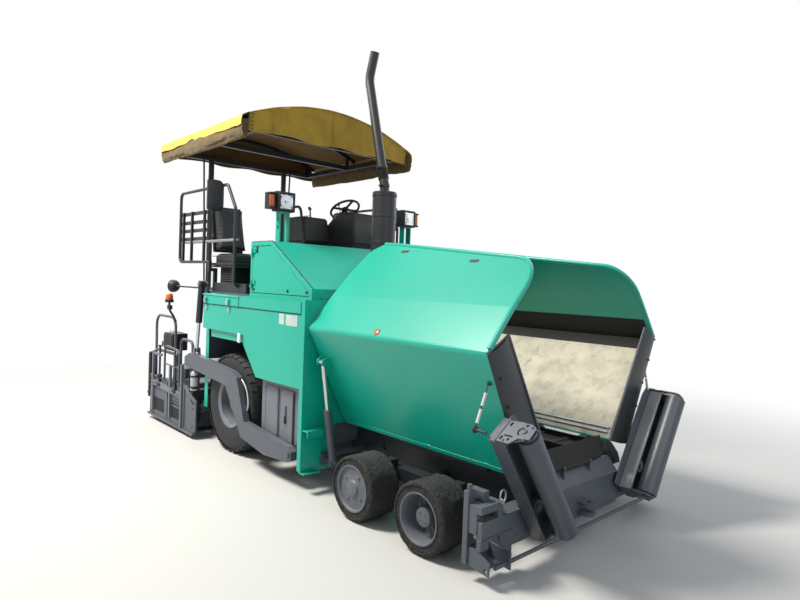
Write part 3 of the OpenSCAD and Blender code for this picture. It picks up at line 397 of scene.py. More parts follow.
# Treaded tyre, black under grey road dust in its grooves
TYRE_RUBBER = Finish(
    "rubber_tyre_moulded", "#26292c", 0.78, Grain.MOULDED, ior=1.45, tone=0.12, patch=0.12,
    dusting=0.34, dust="#75777a", griming=0.2, relief=0.0005, pitch=0.01)
# Moulded rubber sheet and seals, flat black
FLAP_RUBBER = Finish(
    "rubber_sheet_moulded", "#131416", 0.7, Grain.MOULDED, ior=1.45, tone=0.06, dusting=0.08,
    griming=0.1, relief=0.0003, pitch=0.012)
# Coated cotton duck: threads about 1 mm apart, drawn at 5 mm so that they show at all
CANVAS = Finish(
    "cotton_canvas_woven_coated", "#b08c2a", 0.86, Grain.WOVEN, sheen=0.15, tone=0.14,
    patch=0.22, dusting=0.14, dust="#cdbb86", griming=0.3, grime="#5d4a1c", relief=0.0009,
    pitch=0.005, rounding=0.001)
# Folded awning of the same duck, darker brown: painted shade under its flap, and dirt in its folds
CANVAS_FOLDED_SHADED = Finish(
    "cotton_canvas_folded_soiled", "#5f4c22", 0.88, Grain.WOVEN, sheen=0.15, tone=0.2,
    patch=0.1, dusting=0.14, dust="#b3a678", griming=0.5, grime="#3e331a", relief=0.0009,
    pitch=0.005, rounding=0.001)
# Inner side of the same canvas, painted dark brown as the shade under the roof
CANVAS_INSIDE_SHADED = Finish(
    "cotton_canvas_inner_side_painted_shade", "#6e522a", 0.9, Grain.WOVEN, tone=0.14, patch=0.3,
    dusting=0.05, griming=0.3, grime="#3c2c14", relief=0.0008, pitch=0.005, rounding=0.001)
# Drop flaps of the awnings, painted bright yellow as sunlight on the canvas
CANVAS_SUNLIT = Finish(
    "cotton_canvas_painted_sunlight", "#d3b748", 0.84, Grain.WOVEN, sheen=0.15, tone=0.1, patch=0.2,
    dusting=0.08, dust="#efe6ab", griming=0.15, grime="#7b6a2a", relief=0.0009, pitch=0.005,
    rounding=0.001)
# Embossed vinyl of the seats, black with a fine leather grain
SEAT_VINYL = Finish(
    "vinyl_seat_cover_embossed", "#1b1e24", 0.48, Grain.LEATHER, tone=0.08, dusting=0.1,
    griming=0.0, relief=0.0005, pitch=0.006)
# Moulded ABS of covers and housings, black with a fine matt texture
BLACK_PLASTIC = Finish(
    "abs_black_moulded", "#191b1e", 0.5, Grain.MOULDED, ior=1.45, tone=0.06, dusting=0.08,
    griming=0.05, relief=0.0002, pitch=0.003)
# Exhaust tube painted with heat-proof black, satin and nearly clean
EXHAUST_STEEL = Finish(
    "steel_tube_heat_black", "#0f1318", 0.45, Grain.CAST, tone=0.1, dusting=0.02,
    griming=0.05, wear="#3c342f", wearing=0.2, relief=0.0003, pitch=0.01)
# Pressed clear lens, so that the reflector shows through its ribs
LAMP_GLASS = Finish(
    "glass_lens_pressed", "#e9eef0", 0.06, Grain.SMOOTH, ior=1.52, tone=0.02, dusting=0.03,
    griming=0.0, rounding=0.001, transmission=1.0)
# Polished reflector behind the lens
LAMP_MIRROR = Finish(
    "aluminium_reflector_polished", "#dfe3e6", 0.16, Grain.SMOOTH, metallic=1.0, tone=0.04,
    dusting=0.05, griming=0.0, rounding=0.001)
# Clear-coated amber acrylic of turn lamps and beacon
AMBER_LENS = Finish(
    "acrylic_amber_lens", "#d0601a", 0.18, Grain.SMOOTH, ior=1.49, coat=0.4, tone=0.06,
    dusting=0.08, griming=0.05, rounding=0.001)
# Silvered mirror glass
MIRROR_GLASS = Finish(
    "glass_mirror_silvered", "#cfd6da", 0.04, Grain.SMOOTH, metallic=1.0, tone=0.01,
    dusting=0.05, griming=0.0, rounding=0.001)
# White acrylic reflector, glossy and pale
WHITE_REFLECTOR = Finish(
    "acrylic_white_reflector", "#e9eceb", 0.25, Grain.SMOOTH, ior=1.49, coat=0.3,
    dusting=0.05, griming=0.05, rounding=0.001)
# Cloth-wrapped rubber of cord and valve, dull black
HOSE_RUBBER = Finish(
    "rubber_hose_wrapped", "#222327", 0.6, Grain.MOULDED, ior=1.45, dusting=0.15,
    griming=0.1, relief=0.0003, pitch=0.004, rounding=0.001)
# Extruded PVC of the washing hose and the link's sleeves, off-white
PALE_HOSE = Finish(
    "pvc_hose_extruded", "#cfd2cb", 0.4, Grain.SMOOTH, ior=1.53, dusting=0.15, griming=0.1,
    rounding=0.001)
# Rolled tread plate of deck and walkway, worn grey
TREAD_PLATE = Finish(
    "steel_tread_plate_rolled", "#4a4f55", 0.5, metallic=0.2, dusting=0.25, griming=0.3,
    relief=0.0006, pitch=0.02)
# Thin anodised sheet of a name plate, blank
NAME_PLATE = Finish(
    "aluminium_sheet_anodised", "#c9d6d2", 0.4, Grain.SMOOTH, metallic=0.6, dusting=0.15, griming=0.15,
    rounding=0.001)
# Pale enamel of bottles and latches, chipped at the edges
GAS_BOTTLE = Finish(
    "light_grey_enamel_bottle", "#b9bfc4", 0.35, dusting=0.15, griming=0.2, wear="#6d6a66",
    wearing=0.3, relief=0.0002, pitch=0.006)


class Shape:
    """The faces of one piece, gathered before they become an object."""

    def __init__(self) -> None:
        """Start with no faces."""
        self.mesh = bmesh.new()

    def grow(self, points: Sequence[Spot], faces: Sequence[Sequence[int]]) -> "Shape":
        """Add points and faces.

        Args:
            points: the new points.
            faces: point numbers of each face.

        Returns:
            The shape itself.
        """
        made = [self.mesh.verts.new(Vector(p)) for p in points]
        for face in faces:
            corners = [made[i] for i in face]
            if len(set(corners)) > 2:
                self.mesh.faces.new(corners)
        return self

    def block(self, low: Spot, high: Spot) -> "Shape":
        """Add a box between two corners.

        Args:
            low: the lowest corner.
            high: the highest corner.

        Returns:
            The shape itself.
        """
        mid = Vector([(a + b) / 2 for a, b in zip(low, high)])
        half = Vector([(b - a) / 2 for a, b in zip(low, high)])
        points = []
        for k in range(8):
            points.append(mid + Vector([half[i] if k >> i & 1 else -half[i] for i in range(3)]))
        return self.grow(points, [(0, 2, 3, 1), (4, 5, 7, 6), (0, 1, 5, 4), (2, 6, 7, 3), (0, 4, 6, 2),
                                  (1, 3, 7, 5)])

    def lathe(self, centre: Spot, axis: Spot, profile: Sequence[tuple[float, float]],
              sides: int = 40) -> "Shape":
        """Turn a profile about an axis.

        Args:
            centre: the axis's origin.
            axis: the axis's direction.
            profile: radius and height pairs; a radius of 0 closes the end.
            sides: steps round the axis.

        Returns:
            The shape itself.
        """
        up = Vector(axis).normalized()
        side = up.orthogonal().normalized()
        other = up.cross(side)
        points: list[Vector] = []
        rings: list[list[int]] = []
        for radius, height in profile:
            if radius <= 1e-6:
                rings.append([len(points)] * sides)
                points.append(Vector(centre) + up * height)
                continue
            rings.append(list(range(len(points), len(points) + sides)))
            for k in range(sides):
                angle = math.tau * k / sides
                out = side * math.cos(angle) + other * math.sin(angle)
                points.append(Vector(centre) + up * height + out * radius)
        faces = []
        for low, high in zip(rings, rings[1:]):
            for k in range(sides):
                n = (k + 1) % sides
                face = [low[k], low[n], high[n], high[k]]
                faces.append([v for i, v in enumerate(face) if v not in face[:i]])
        return self.grow(points, faces)

    def rod(self, start: Spot, end: Spot, radius: float, sides: int = 20,
            end_radius: float | None = None) -> "Shape":
        """Add a closed round bar or cone between two points.

        Args:
            start: the first end.
            end: the other end.
            radius: the radius.
            sides: steps round it.
            end_radius: the radius at the other end, if it differs.

        Returns:
            The shape itself.
        """
        way = Vector(end) - Vector(start)
        far = radius if end_radius is None else end_radius
        return self.lathe(start, way, [(0, 0), (radius, 0), (far, way.length), (0, way.length)], sides)

    def pipe(self, path: Sequence[Spot], radius: float, sides: int = 10, closed: bool = False) -> "Shape":
        """Sweep a circle along a path.

        Args:
            path: points along the middle.
            radius: the tube's radius.
            sides: steps round it.
            closed: whether the path comes back to its start.

        Returns:
            The shape itself.
        """
        spots = [Vector(p) for p in path]
        count = len(spots)
        points, faces = [], []
        across = (spots[1] - spots[0]).orthogonal().normalized()
        for i, spot in enumerate(spots):
            before = spots[i - 1] if i or closed else spot
            after = spots[(i + 1) % count] if i < count - 1 or closed else spot
            way = (after - before).normalized()
            across = (across - way * across.dot(way)).normalized()
            other = way.cross(across)
            for k in range(sides):
                angle = math.tau * k / sides
                points.append(spot + (across * math.cos(angle) + other * math.sin(angle)) * radius)
        for i in range(count if closed else count - 1):
            a, b = i * sides, (i + 1) % count * sides
            for k in range(sides):
                n = (k + 1) % sides
                faces.append((a + k, a + n, b + n, b + k))
        if not closed:
            faces.append(tuple(reversed(range(sides))))
            faces.append(tuple(range((count - 1) * sides, count * sides)))
        return self.grow(points, faces)

    def plate(self, outline: Sequence[Spot], thick: Spot) -> "Shape":
        """Add a flat plate: an outline and the same outline moved by its thickness.

        Args:
            outline: the corners of one face.
            thick: the vector to the other face.

        Returns:
            The shape itself.
        """
        count = len(outline)
        step = Vector(thick)
        points = [Vector(p) for p in outline] + [Vector(p) + step for p in outline]
        faces = [tuple(reversed(range(count))), tuple(range(count, 2 * count))]
        faces += [(i, (i + 1) % count, count + (i + 1) % count, count + i) for i in range(count)]
        return self.grow(points, faces)

    def pierced(self, loops: Sequence[Sequence[Spot]], thick: Spot) -> "Shape":
        """Add a flat plate with holes.

        Args:
            loops: the outline's corners, then those of each hole.
            thick: the vector to the other face.

        Returns:
            The shape itself.
        """
        sheets = []
        for shift in (Vector((0, 0, 0)), Vector(thick)):
            rings = [[self.mesh.verts.new(Vector(p) + shift) for p in loop] for loop in loops]
            edges = [self.mesh.edges.new((ring[i - 1], ring[i])) for ring in rings for i in range(len(ring))]
            bmesh.ops.triangle_fill(self.mesh, edges=edges, use_beauty=True)
            sheets.append(rings)
        for low, high in zip(*sheets):
            for i in range(len(low)):
                self.mesh.faces.new((low[i - 1], low[i], high[i], high[i - 1]))
        return self

    def surface(self, rows: Sequence[Sequence[Spot]], wrap: bool = False) -> "Shape":
        """Add a grid of faces through rows of points.

        Args:
            rows: rows with the same number of points.
            wrap: whether each row comes back to its start.

        Returns:
            The shape itself.
        """
        wide = len(rows[0])
        points = [p for row in rows for p in row]
        faces = []
        for i in range(len(rows) - 1):
            for j in range(wide if wrap else wide - 1):
                n = (j + 1) % wide
                faces.append((i * wide + j, i * wide + n, (i + 1) * wide + n, (i + 1) * wide + j))
        return self.grow(points, faces)

    def bolt(self, spot: Spot, out: Spot, size: float = 0.012) -> "Shape":
        """Add a hexagon head on its washer.

        Args:
            spot: where it is screwed in.
            out: the direction that it faces.
            size: the head's radius.

        Returns:
            The shape itself.
        """
        self.lathe(spot, out, [(size * 1.35, -0.001), (size * 1.35, size * 0.2), (0, size * 0.2)], 14)
        return self.lathe(spot, out, [(size, size * 0.2), (size, size * 0.8), (size * 0.8, size), (0, size)],
                          6)

    def piece(self, name: str, body: str, finish: Finish | Sequence[Finish], side: Side | None = None,
              smooth: float = 40.0, bevel: float = 0.0, replaces: Sequence[str] = ()) -> bpy.types.Object:
        """Turn the shape into an object that rides on a body.

        Args:
            name: the piece's name.
            body: the CAD body that it moves with.
            finish: its finish, or several by paint number.
            side: the machine's side; the right is the mirror image of what was drawn.
            smooth: the angle in degrees above which an edge stays sharp.
            bevel: the width of a bevel on its sharp edges.
            replaces: CAD nodes that it stands for.

        Returns:
            The new object.
        """
        if side is Side.RIGHT:
            for vert in self.mesh.verts:
                vert.co.y = -vert.co.y
            bmesh.ops.reverse_faces(self.mesh, faces=self.mesh.faces)
        for vert in self.mesh.verts:
            vert.co.x += AXLE_X
        bmesh.ops.recalc_face_normals(self.mesh, faces=self.mesh.faces)
        limit = math.radians(smooth)
        for face in self.mesh.faces:
            face.smooth = True
        for edge in self.mesh.edges:
            edge.smooth = len(edge.link_faces) == 2 and edge.calc_face_angle(0) < limit
        data = bpy.data.meshes.new(name)
        self.mesh.to_mesh(data)
        self.mesh.free()
        made = bpy.data.objects.new(name, data)
        bpy.context.scene.collection.objects.link(made)
        for one in [finish] if isinstance(finish, Finish) else finish:
            data.materials.append(one.material())
        if bevel:
            cut = made.modifiers.new("edges", "BEVEL")
            cut.width, cut.segments, cut.limit_method = bevel, 2, "ANGLE"
            cut.angle_limit, cut.harden_normals = math.radians(45), False
        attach(made, body)
        if replaces:
            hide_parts(*replaces)
        LOG.info("piece %s on %s, %d faces", name, body, len(data.polygons))
        return made


def curve_through(points: Sequence[Spot], steps: int = 8) -> list[Vector]:
    """Draw a smooth curve through points.

    Args:
        points: the points that it passes.
        steps: pieces between two points.

    Returns:
        Points along the curve.
    """
    p = [Vector(q) for q in points]
    p = [2 * p[0] - p[1]] + p + [2 * p[-1] - p[-2]]
    out = []
    for i in range(1, len(p) - 2):
        for k in range(steps):
            t = k / steps
            out.append(0.5 * (2 * p[i] + (p[i + 1] - p[i - 1]) * t
                              + (2 * p[i - 1] - 5 * p[i] + 4 * p[i + 1] - p[i + 2]) * t * t
                              + (3 * p[i] - p[i - 1] - 3 * p[i + 1] + p[i + 2]) * t ** 3))
    return out + [p[-2]]


def around(count: int, radius: float, start: float = 0.0) -> Iterator[tuple[float, float]]:
    """Yield evenly spread places on a circle about zero.

    Args:
        count: how many places.
        radius: the circle's radius.
        start: how far round the first one lies, in steps.
    """
    for k in range(count):
        angle = math.tau * (k + start) / count
        yield radius * math.cos(angle), radius * math.sin(angle)


@dataclass(frozen=True)
class Sided:
    """A sub-assembly that is drawn on the left and mirrored for the right."""

    side: Side

    def put(self, shape: Shape, name: str, body: str, finish: Finish, replaces: str = "",
            **options: float) -> bpy.types.Object:
        """Make a piece of this side, whose word goes behind each name.

        Args:
            shape: the drawn shape.
            name: the piece's name.
            body: the CAD body that it moves with.
            finish: its finish.
            replaces: the CAD node that it stands for.
            options: what else Shape.piece takes.

        Returns:
            The new object.
        """
        word = self.side.word
        whole = body in ("tractor", "screed")
        nodes = (f"{replaces}_{word}",) if replaces else ()
        return shape.piece(f"{name}_{word}", body if whole else f"{body}_{word}", finish, self.side,
                           replaces=nodes, **options)


@dataclass(frozen=True)
class AreaLamp:
    """One soft box of the studio."""

    name: str
    spot: Spot
    size: float
    power: float
    colour: str


@dataclass(frozen=True)
class Studio:
    """Camera, lamps, world and floor of the picture."""

    camera_spot: Spot = (5.213, -4.216, 1.953)
    yaw: float = 137.38
    pitch: float = -1.62
    roll: float = 2.17
    lens: float = 26.56
    aim: Spot = (0.2, 0.0, 1.3)
    ambient: float = 0.36
    floor_colour: str = "#cfcfcd"
    fade_start: float = 3.6
    fade_end: float = 9.0
    lamps: tuple[AreaLamp, ...] = (
        AreaLamp("key_softbox", (-2.8, -5.8, 9.4), 2.6, 1600, "#fffaf1"),
        AreaLamp("front_softbox", (8.5, -1.5, 5.0), 5.0, 110, "#e2edff"),
        AreaLamp("left_softbox", (0.0, 8.5, 6.0), 5.0, 240, "#e8efff"),
        AreaLamp("rear_softbox", (-8.0, 1.0, 6.0), 4.0, 240, "#fbfbff"),
    )

    def build(self) -> None:
        """Make the camera, the lamps, the world and the floor."""
        scene = bpy.context.scene
        scene.view_settings.view_transform = "Standard"
        self._camera(scene)
        self._world(scene)
        self._floor()
        for lamp in self.lamps:
            light = bpy.data.lights.new(lamp.name, "AREA")
            light.shape, light.size, light.energy = "SQUARE", lamp.size, lamp.power
            light.color = linear(lamp.colour)[:3]
            made = bpy.data.objects.new(lamp.name, light)
            made.location = lamp.spot
            made.rotation_euler = (Vector(self.aim) - Vector(lamp.spot)).to_track_quat("-Z", "Y").to_euler()
            scene.collection.objects.link(made)

    def _camera(self, scene: bpy.types.Scene) -> None:
        """Make the camera at the photograph's viewing angle.

        Args:
            scene: the scene that gets it.
        """
        yaw, pitch, roll = (math.radians(a) for a in (self.yaw, self.pitch, self.roll))
        ahead = Vector((math.cos(yaw) * math.cos(pitch), math.sin(yaw) * math.cos(pitch), math.sin(pitch)))
        right = ahead.cross(Vector(UP)).normalized()
        up = right.cross(ahead)
        turned_right = right * math.cos(roll) + up * math.sin(roll)
        turned_up = up * math.cos(roll) - right * math.sin(roll)
        lens = bpy.data.cameras.new("photo_view")
        lens.lens, lens.sensor_width = self.lens, 36.0
        lens.clip_end = 200.0
        camera = bpy.data.objects.new("photo_view", lens)
        turn = Matrix((turned_right, turned_up, -ahead)).transposed().to_4x4()
        camera.matrix_world = Matrix.Translation(self.camera_spot) @ turn
        scene.collection.objects.link(camera)
        scene.camera = camera

    def _seen(self, tree: Tree) -> Socket:
        """Make a mask of the rays that see the plain white background.

        Args:
            tree: the node tree of the world or the floor.

        Returns:
            A value socket, 1 for camera, glossy and transmission rays.
        """
        ray = add_node(tree, "ShaderNodeLightPath")
        seen = ray.outputs["Is Camera Ray"]
        for name in ("Is Glossy Ray", "Is Transmission Ray"):
            seen = add_node(tree, "ShaderNodeMath", {"operation": "MAXIMUM"},
                            {0: seen, 1: ray.outputs[name]}).outputs[0]
        return seen

    def _world(self, scene: bpy.types.Scene) -> None:
        """Make a world that the camera sees as white and that lights the object evenly.

        Args:
            scene: the scene that gets it.
        """
        world = bpy.data.worlds.new("studio")
        world.use_nodes = True
        tree = world.node_tree
        tree.nodes.clear()
        seen = self._seen(tree)
        strength = add_node(tree, "ShaderNodeMapRange", {"To Min": self.ambient, "To Max": 1.0},
                            {"Value": seen})
        glow = add_node(tree, "ShaderNodeBackground", {"Color": linear("#ffffff")},
                        {"Strength": strength.outputs["Result"]})
        add_node(tree, "ShaderNodeOutputWorld", None, {"Surface": glow.outputs["Background"]})
        scene.world = world

    def _floor(self) -> None:
        """Lay a large pale floor that keeps the shadow and fades to white far out."""
        mesh = bmesh.new()
        bmesh.ops.create_circle(mesh, cap_ends=True, segments=96, radius=60.0)
        data = bpy.data.meshes.new("studio_floor")
        mesh.to_mesh(data)
        mesh.free()
        floor = bpy.data.objects.new("studio_floor", data)
        bpy.context.scene.collection.objects.link(floor)
        made = bpy.data.materials.new("studio_floor_matt")
        made.use_nodes = True
        tree = made.node_tree
        tree.nodes.clear()
        place = add_node(tree, "ShaderNodeNewGeometry").outputs["Position"]
        away = add_node(tree, "ShaderNodeVectorMath", {"operation": "LENGTH"}, {0: place})
        fade = add_node(
            tree, "ShaderNodeMapRange",
            {"From Min": self.fade_start, "From Max": self.fade_end,
             "interpolation_type": "SMOOTHSTEP"}, {"Value": away.outputs["Value"]})
        share = add_node(tree, "ShaderNodeMath", {"operation": "MULTIPLY"},
                         {0: fade.outputs["Result"], 1: self._seen(tree)})
        matt = add_node(tree, "ShaderNodeBsdfDiffuse", {"Color": linear(self.floor_colour)})
        white = add_node(tree, "ShaderNodeEmission", {"Color": linear("#ffffff"), "Strength": 1.0})
        blend = add_node(tree, "ShaderNodeMixShader", None,
                         {0: share.outputs[0], 1: matt.outputs[0], 2: white.outputs[0]})
        add_node(tree, "ShaderNodeOutputMaterial", None, {"Surface": blend.outputs[0]})
        data.materials.append(made)


@dataclass(frozen=True)
class Repaint:
    """Gives the CAD nodes that stay in view their finishes."""

    both: tuple[tuple[Finish, tuple[str, ...]], ...] = (
        (GREY_ENAMEL, ("front_crossmember", "platform", "wheel_drives", "outriggers", "tow_arms")),
        (PALE_GREY_ENAMEL, ("side_tanks",)),
        (SCREED_STEEL, ("screed_main",)),
        (GREEN_ENAMEL, ("bulkhead", "body_sides", "hood")),
        (SLAT_STEEL, ("conveyor",)),
        (DARK_ENAMEL, ("canopy_frame", "chassis_frame", "bogies", "lift_barrels")),
        (BLACK_PLASTIC, ("console", "headlamps")),
        (EXHAUST_STEEL, ("exhaust", "engine_block")),
        (FLAP_RUBBER, ("front_apron",)),
        (CHROME_ROD, ("lift_rods",)),
    )
    sided: tuple[tuple[Finish, tuple[str, ...]], ...] = (
        (GREEN_ENAMEL, ("lid", "hood_door", "wing_skin")),
        (LINER_PLATE, ("wing_liner",)),
        (DARK_ENAMEL, ("seat_carrier",)),
        (GREY_ENAMEL, ("knuckle_1", "knuckle_2", "wing_barrel")),
        (CHROME_ROD, ("wing_rod",)),
        (ROLLER_STEEL, ("push_roller", "roller_arm")),
        (SLAT_STEEL, ("auger",)),
        (SCREED_STEEL, ("extension",)),
        (RIM_PAINT, ("rear_rim",)),
    )

    def build(self) -> None:
        """Put each finish on the material slots of its nodes."""
        for finish, names in self.both:
            for name in names:
                self._coat(name, finish)
        for finish, names in self.sided:
            for name in names:
                for side in Side:
                    self._coat(f"{name}_{side.word}", finish)

    def _coat(self, name: str, finish: Finish) -> None:
        """Give one node its finish.

        Args:
            name: the node.
            finish: its finish.
        """
        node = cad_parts[name]
        if not node.material_slots:
            node.data.materials.append(finish.material())
        for place in node.material_slots:
            place.material = finish.material()
        LOG.info("node %s in %s", name, finish.name)


@dataclass(frozen=True)
class Canopy:
    """The canvas roof with its valances."""

    front_x: float = 0.270
    rear_x: float = -1.980
    half: float = 1.150
    eaves: float = 3.725
    rise: float = 0.250
    hem: float = 3.540
    bows: tuple[float, ...] = (-1.90, -0.865, 0.12)
    columns: int = 60
    rows: int = 72

    def height(self, y: float) -> float:
        """Height of the roof above a place across it.

        Args:
            y: metres from the middle.

        Returns:
            The height in metres.
        """
        return self.eaves + self.rise * (1 - (y / self.half) ** 2)

    def build(self) -> None:
        """Make the canvas and its seams."""
        canvas = self._cover()
        self._seams()

    def _sag(self, x: float, y: float) -> float:
        """How far the canvas hangs below its taut line.

        Args:
            x: metres from the rear axle.
            y: metres from the middle.

        Returns:
            The drop in metres.
        """
        gap = min(abs(x - bow) for bow in self.bows)
        wave = 0.004 * noise.noise(Vector((x * 2.2, y * 3.1, 0.3)))
        wave += 0.0025 * noise.noise(Vector((x * 7.0, y * 2.0, 4.1)))
        return 0.005 + 0.011 * min(1.0, gap / 0.45) ** 1.3 + abs(wave)

    def _cover(self) -> bpy.types.Object:
        """Make the roof with its front and rear valances as one continuous sheet.

        Returns:
            The canvas.
        """
        grid = []
        across = [self.half * (2 * j / self.columns - 1) for j in range(self.columns + 1)]
        drops = 12
        for end, out in ((self.rear_x, -1.0), (self.front_x, 1.0)):
            fall = []
            for i in range(drops + 1):
                t = i / drops
                row = []
                for y in across:
                    top = self.height(y) - self._sag(end, y)
                    waver = noise.noise(Vector((y * 4, 7, 0)))
                    low = self.hem + 0.012 * math.sin(9 * y + 1.2) + 0.008 * waver
                    z = top + (low - top) * t
                    ripple = 0.016 * t * noise.noise(Vector((y * 3.4, z * 1.2, 9.0 + out)))
                    ripple += 0.004 * t * math.sin(34 * y + 3 * noise.noise(Vector((y * 2, 0, 1))))
                    ridge = 0.4 - abs(noise.noise(Vector((y * 5.5 + z * 4.0, z * 7.0 - y * 3.0, 3.0 + out))))
                    ripple += 0.026 * ridge * math.sin(math.pi * min(1.0, t + 0.12))
                    pull = 0.02 * math.exp(-((self.half - abs(y)) / 0.07) ** 2) * t
                    row.append((end - out * (0.003 + abs(ripple) + pull + 0.012 * (1 - t) ** 4), y, z))
                fall.append(row)
            grid.append(fall)
        rear, front = grid
        roof = []
        for i in range(1, self.rows):
            x = self.rear_x + (self.front_x - self.rear_x) * i / self.rows
            roof.append([(x, y, self.height(y) - self._sag(x, y)) for y in across])
        shape = Shape()
        shape.surface(list(reversed(rear)) + roof + front)
        bmesh.ops.remove_doubles(shape.mesh, verts=shape.mesh.verts, dist=0.0005)
        # Its inner side takes the darker canvas: painted shade under the roof.
        made = shape.piece("canopy_canvas", "tractor", (CANVAS, CANVAS_INSIDE_SHADED), smooth=80,
                           replaces=("canopy_cover",))
        thicken(made)
        return made

    def _seams(self) -> None:
        """Sew the welted seams where roof and valances meet and the roof's panel seams."""
        shape = Shape()
        across = [self.half * (2 * j / 60 - 1) for j in range(61)]
        for end, out in ((self.rear_x, 1), (self.front_x, -1)):
            shape.pipe([(end + out * 0.008, y, self.height(y) - self._sag(end, y) + 0.001) for y in across],
                       0.006, 8)
        for x in (-1.30, -0.56):
            shape.pipe([(x, y, self.height(y) - self._sag(x, y) + 0.0005) for y in across], 0.0035, 6)
        shape.piece("canopy_seams", "tractor", CANVAS)


def thicken(made: bpy.types.Object, thick: float = 0.003) -> None:
    """Give a sheet its thickness, with the second finish on its inner side.

    Args:
        made: the sheet.
        thick: metres.
    """
    skin = made.modifiers.new("thickness", "SOLIDIFY")
    skin.thickness, skin.offset, skin.material_offset = thick, -1.0, 1
    skin.material_offset_rim = 0


@dataclass(frozen=True)
class Awning(Sided):
    """A side awning folded under its drop flap, and the lacing of the roof's corners."""

    roof: Canopy = Canopy()

    def build(self) -> None:
        """Make the awning and the lacing."""
        self._awning()
        self._lacing()

    def _awning(self) -> None:
        """Make one side awning: a short drop flap over the folded canvas bundle."""
        right = self.side is Side.RIGHT
        length = self.roof.front_x - self.roof.rear_x
        steps = 110
        rng = random.Random(11 if right else 23)
        lift = [rng.uniform(-1, 1) for _ in range(8)]
        flap, bundle = [], []
        for i in range(steps + 1):
            t = i / steps
            x = self.roof.rear_x + 0.004 + (length - 0.008) * t
            wave = sum(a * math.sin((2 + k * 1.7) * math.pi * t + k * 1.3) / (k + 1.5) for k,
                       a in enumerate(lift))
            low = 3.578 + 0.024 * wave + 0.035 * math.exp(-((t - 0.42) / 0.05) ** 2)
            low -= 0.01 * math.exp(-((t - 0.97) / 0.03) ** 2)
            out = 1.238 + 0.010 * math.sin(7 * t + 1) + 0.006 * wave
            flap.append([(x, self.roof.half - 0.012, self.roof.eaves + 0.001),
                         (x, self.roof.half + 0.012, self.roof.eaves - 0.004),
                         (x, (self.roof.half + out) / 2, 3.700 + 0.004 * wave), (x, out - 0.012, 3.676),
                         (x, out, (3.676 + low) / 2), (x, out + 0.006 * wave, low)])
            ring = []
            for k in range(28):
                a = math.tau * k / 28
                fold = 1.0 + 0.16 * math.sin(3 * a + 2.2 * wave) * math.sin(a) ** 2
                fold += 0.12 * noise.noise(Vector((x * 1.4, math.cos(a) * 1.6, math.sin(a) * 1.6)))
                crease = noise.noise(Vector((x * 4.0 + a * 1.8, math.cos(a) * 2, math.sin(a) * 2 + 5)))
                fine = noise.noise(Vector((x * 15.0 - a * 3.0, math.cos(a) * 2, math.sin(a) * 2 + 9)))
                fold += (0.34 * (0.5 - abs(crease)) + 0.20 * (0.4 - abs(fine))) * abs(math.cos(a)) - 0.16
                droop = 0.012 * math.sin(math.pi * t) + 0.01 * wave
                y = 1.196 + 0.041 * fold * math.cos(a) + 0.004 * wave
                z = 3.548 - droop + 0.105 * fold * math.sin(a) - 0.012 * math.cos(a)
                ring.append((x, min(y, 1.252), max(3.432, min(z, 3.70))))
            bundle.append(ring)
        cloth = Shape()
        cloth.surface(flap)
        # The flap's outer side is painted bright yellow as sunlight.
        top = self.put(cloth, "awning_flap", "tractor", (CANVAS_SUNLIT, CANVAS), smooth=80)
        thicken(top)
        roll = Shape()
        roll.surface(bundle, wrap=True)
        for end in (bundle[0], bundle[-1]):
            middle = sum((Vector(p) for p in end), Vector()) / len(end)
            inset = Vector((0.02 if end is bundle[0] else -0.02, 0, 0))
            inner = [tuple(middle + (Vector(p) - middle) * 0.55 + inset) for p in end]
            roll.surface([end, inner], wrap=True)
            roll.surface([inner, [tuple(middle)] * len(inner)], wrap=True)
        # The bundle's darker brown is painted shade under the flap, with dirt in its folds.
        folded = self.put(roll, "awning", "tractor", CANVAS_FOLDED_SHADED, smooth=70)
        if right:
            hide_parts("awnings")
        thicken(folded)

    def _lacing(self) -> None:
        """Lace the corners of the canvas with a dark cord through eyelets, drawn tight."""
        cord, rings = Shape(), Shape()
        for end, out in ((self.roof.front_x, 1), (self.roof.rear_x, -1)):
            path = []
            for k in range(9):
                z = self.roof.eaves - 0.02 - k * 0.020
                inward = k % 2 == 0
                near = (end + out * 0.004, self.roof.half - 0.035, z)
                far = (end - out * 0.03, self.roof.half + 0.02, z)
                spot = near if inward else far
                path.append(spot)
                rings.lathe(spot, (out, 0, 0) if inward else ACROSS,
                            [(0.009, 0), (0.009, 0.003), (0.005, 0.003), (0.005, 0)], 12)
            cord.pipe(path, 0.003, 6)
        self.put(cord, "canopy_lacing", "tractor", HOSE_RUBBER)
        self.put(rings, "canopy_eyelets", "tractor", DARK_ENAMEL)


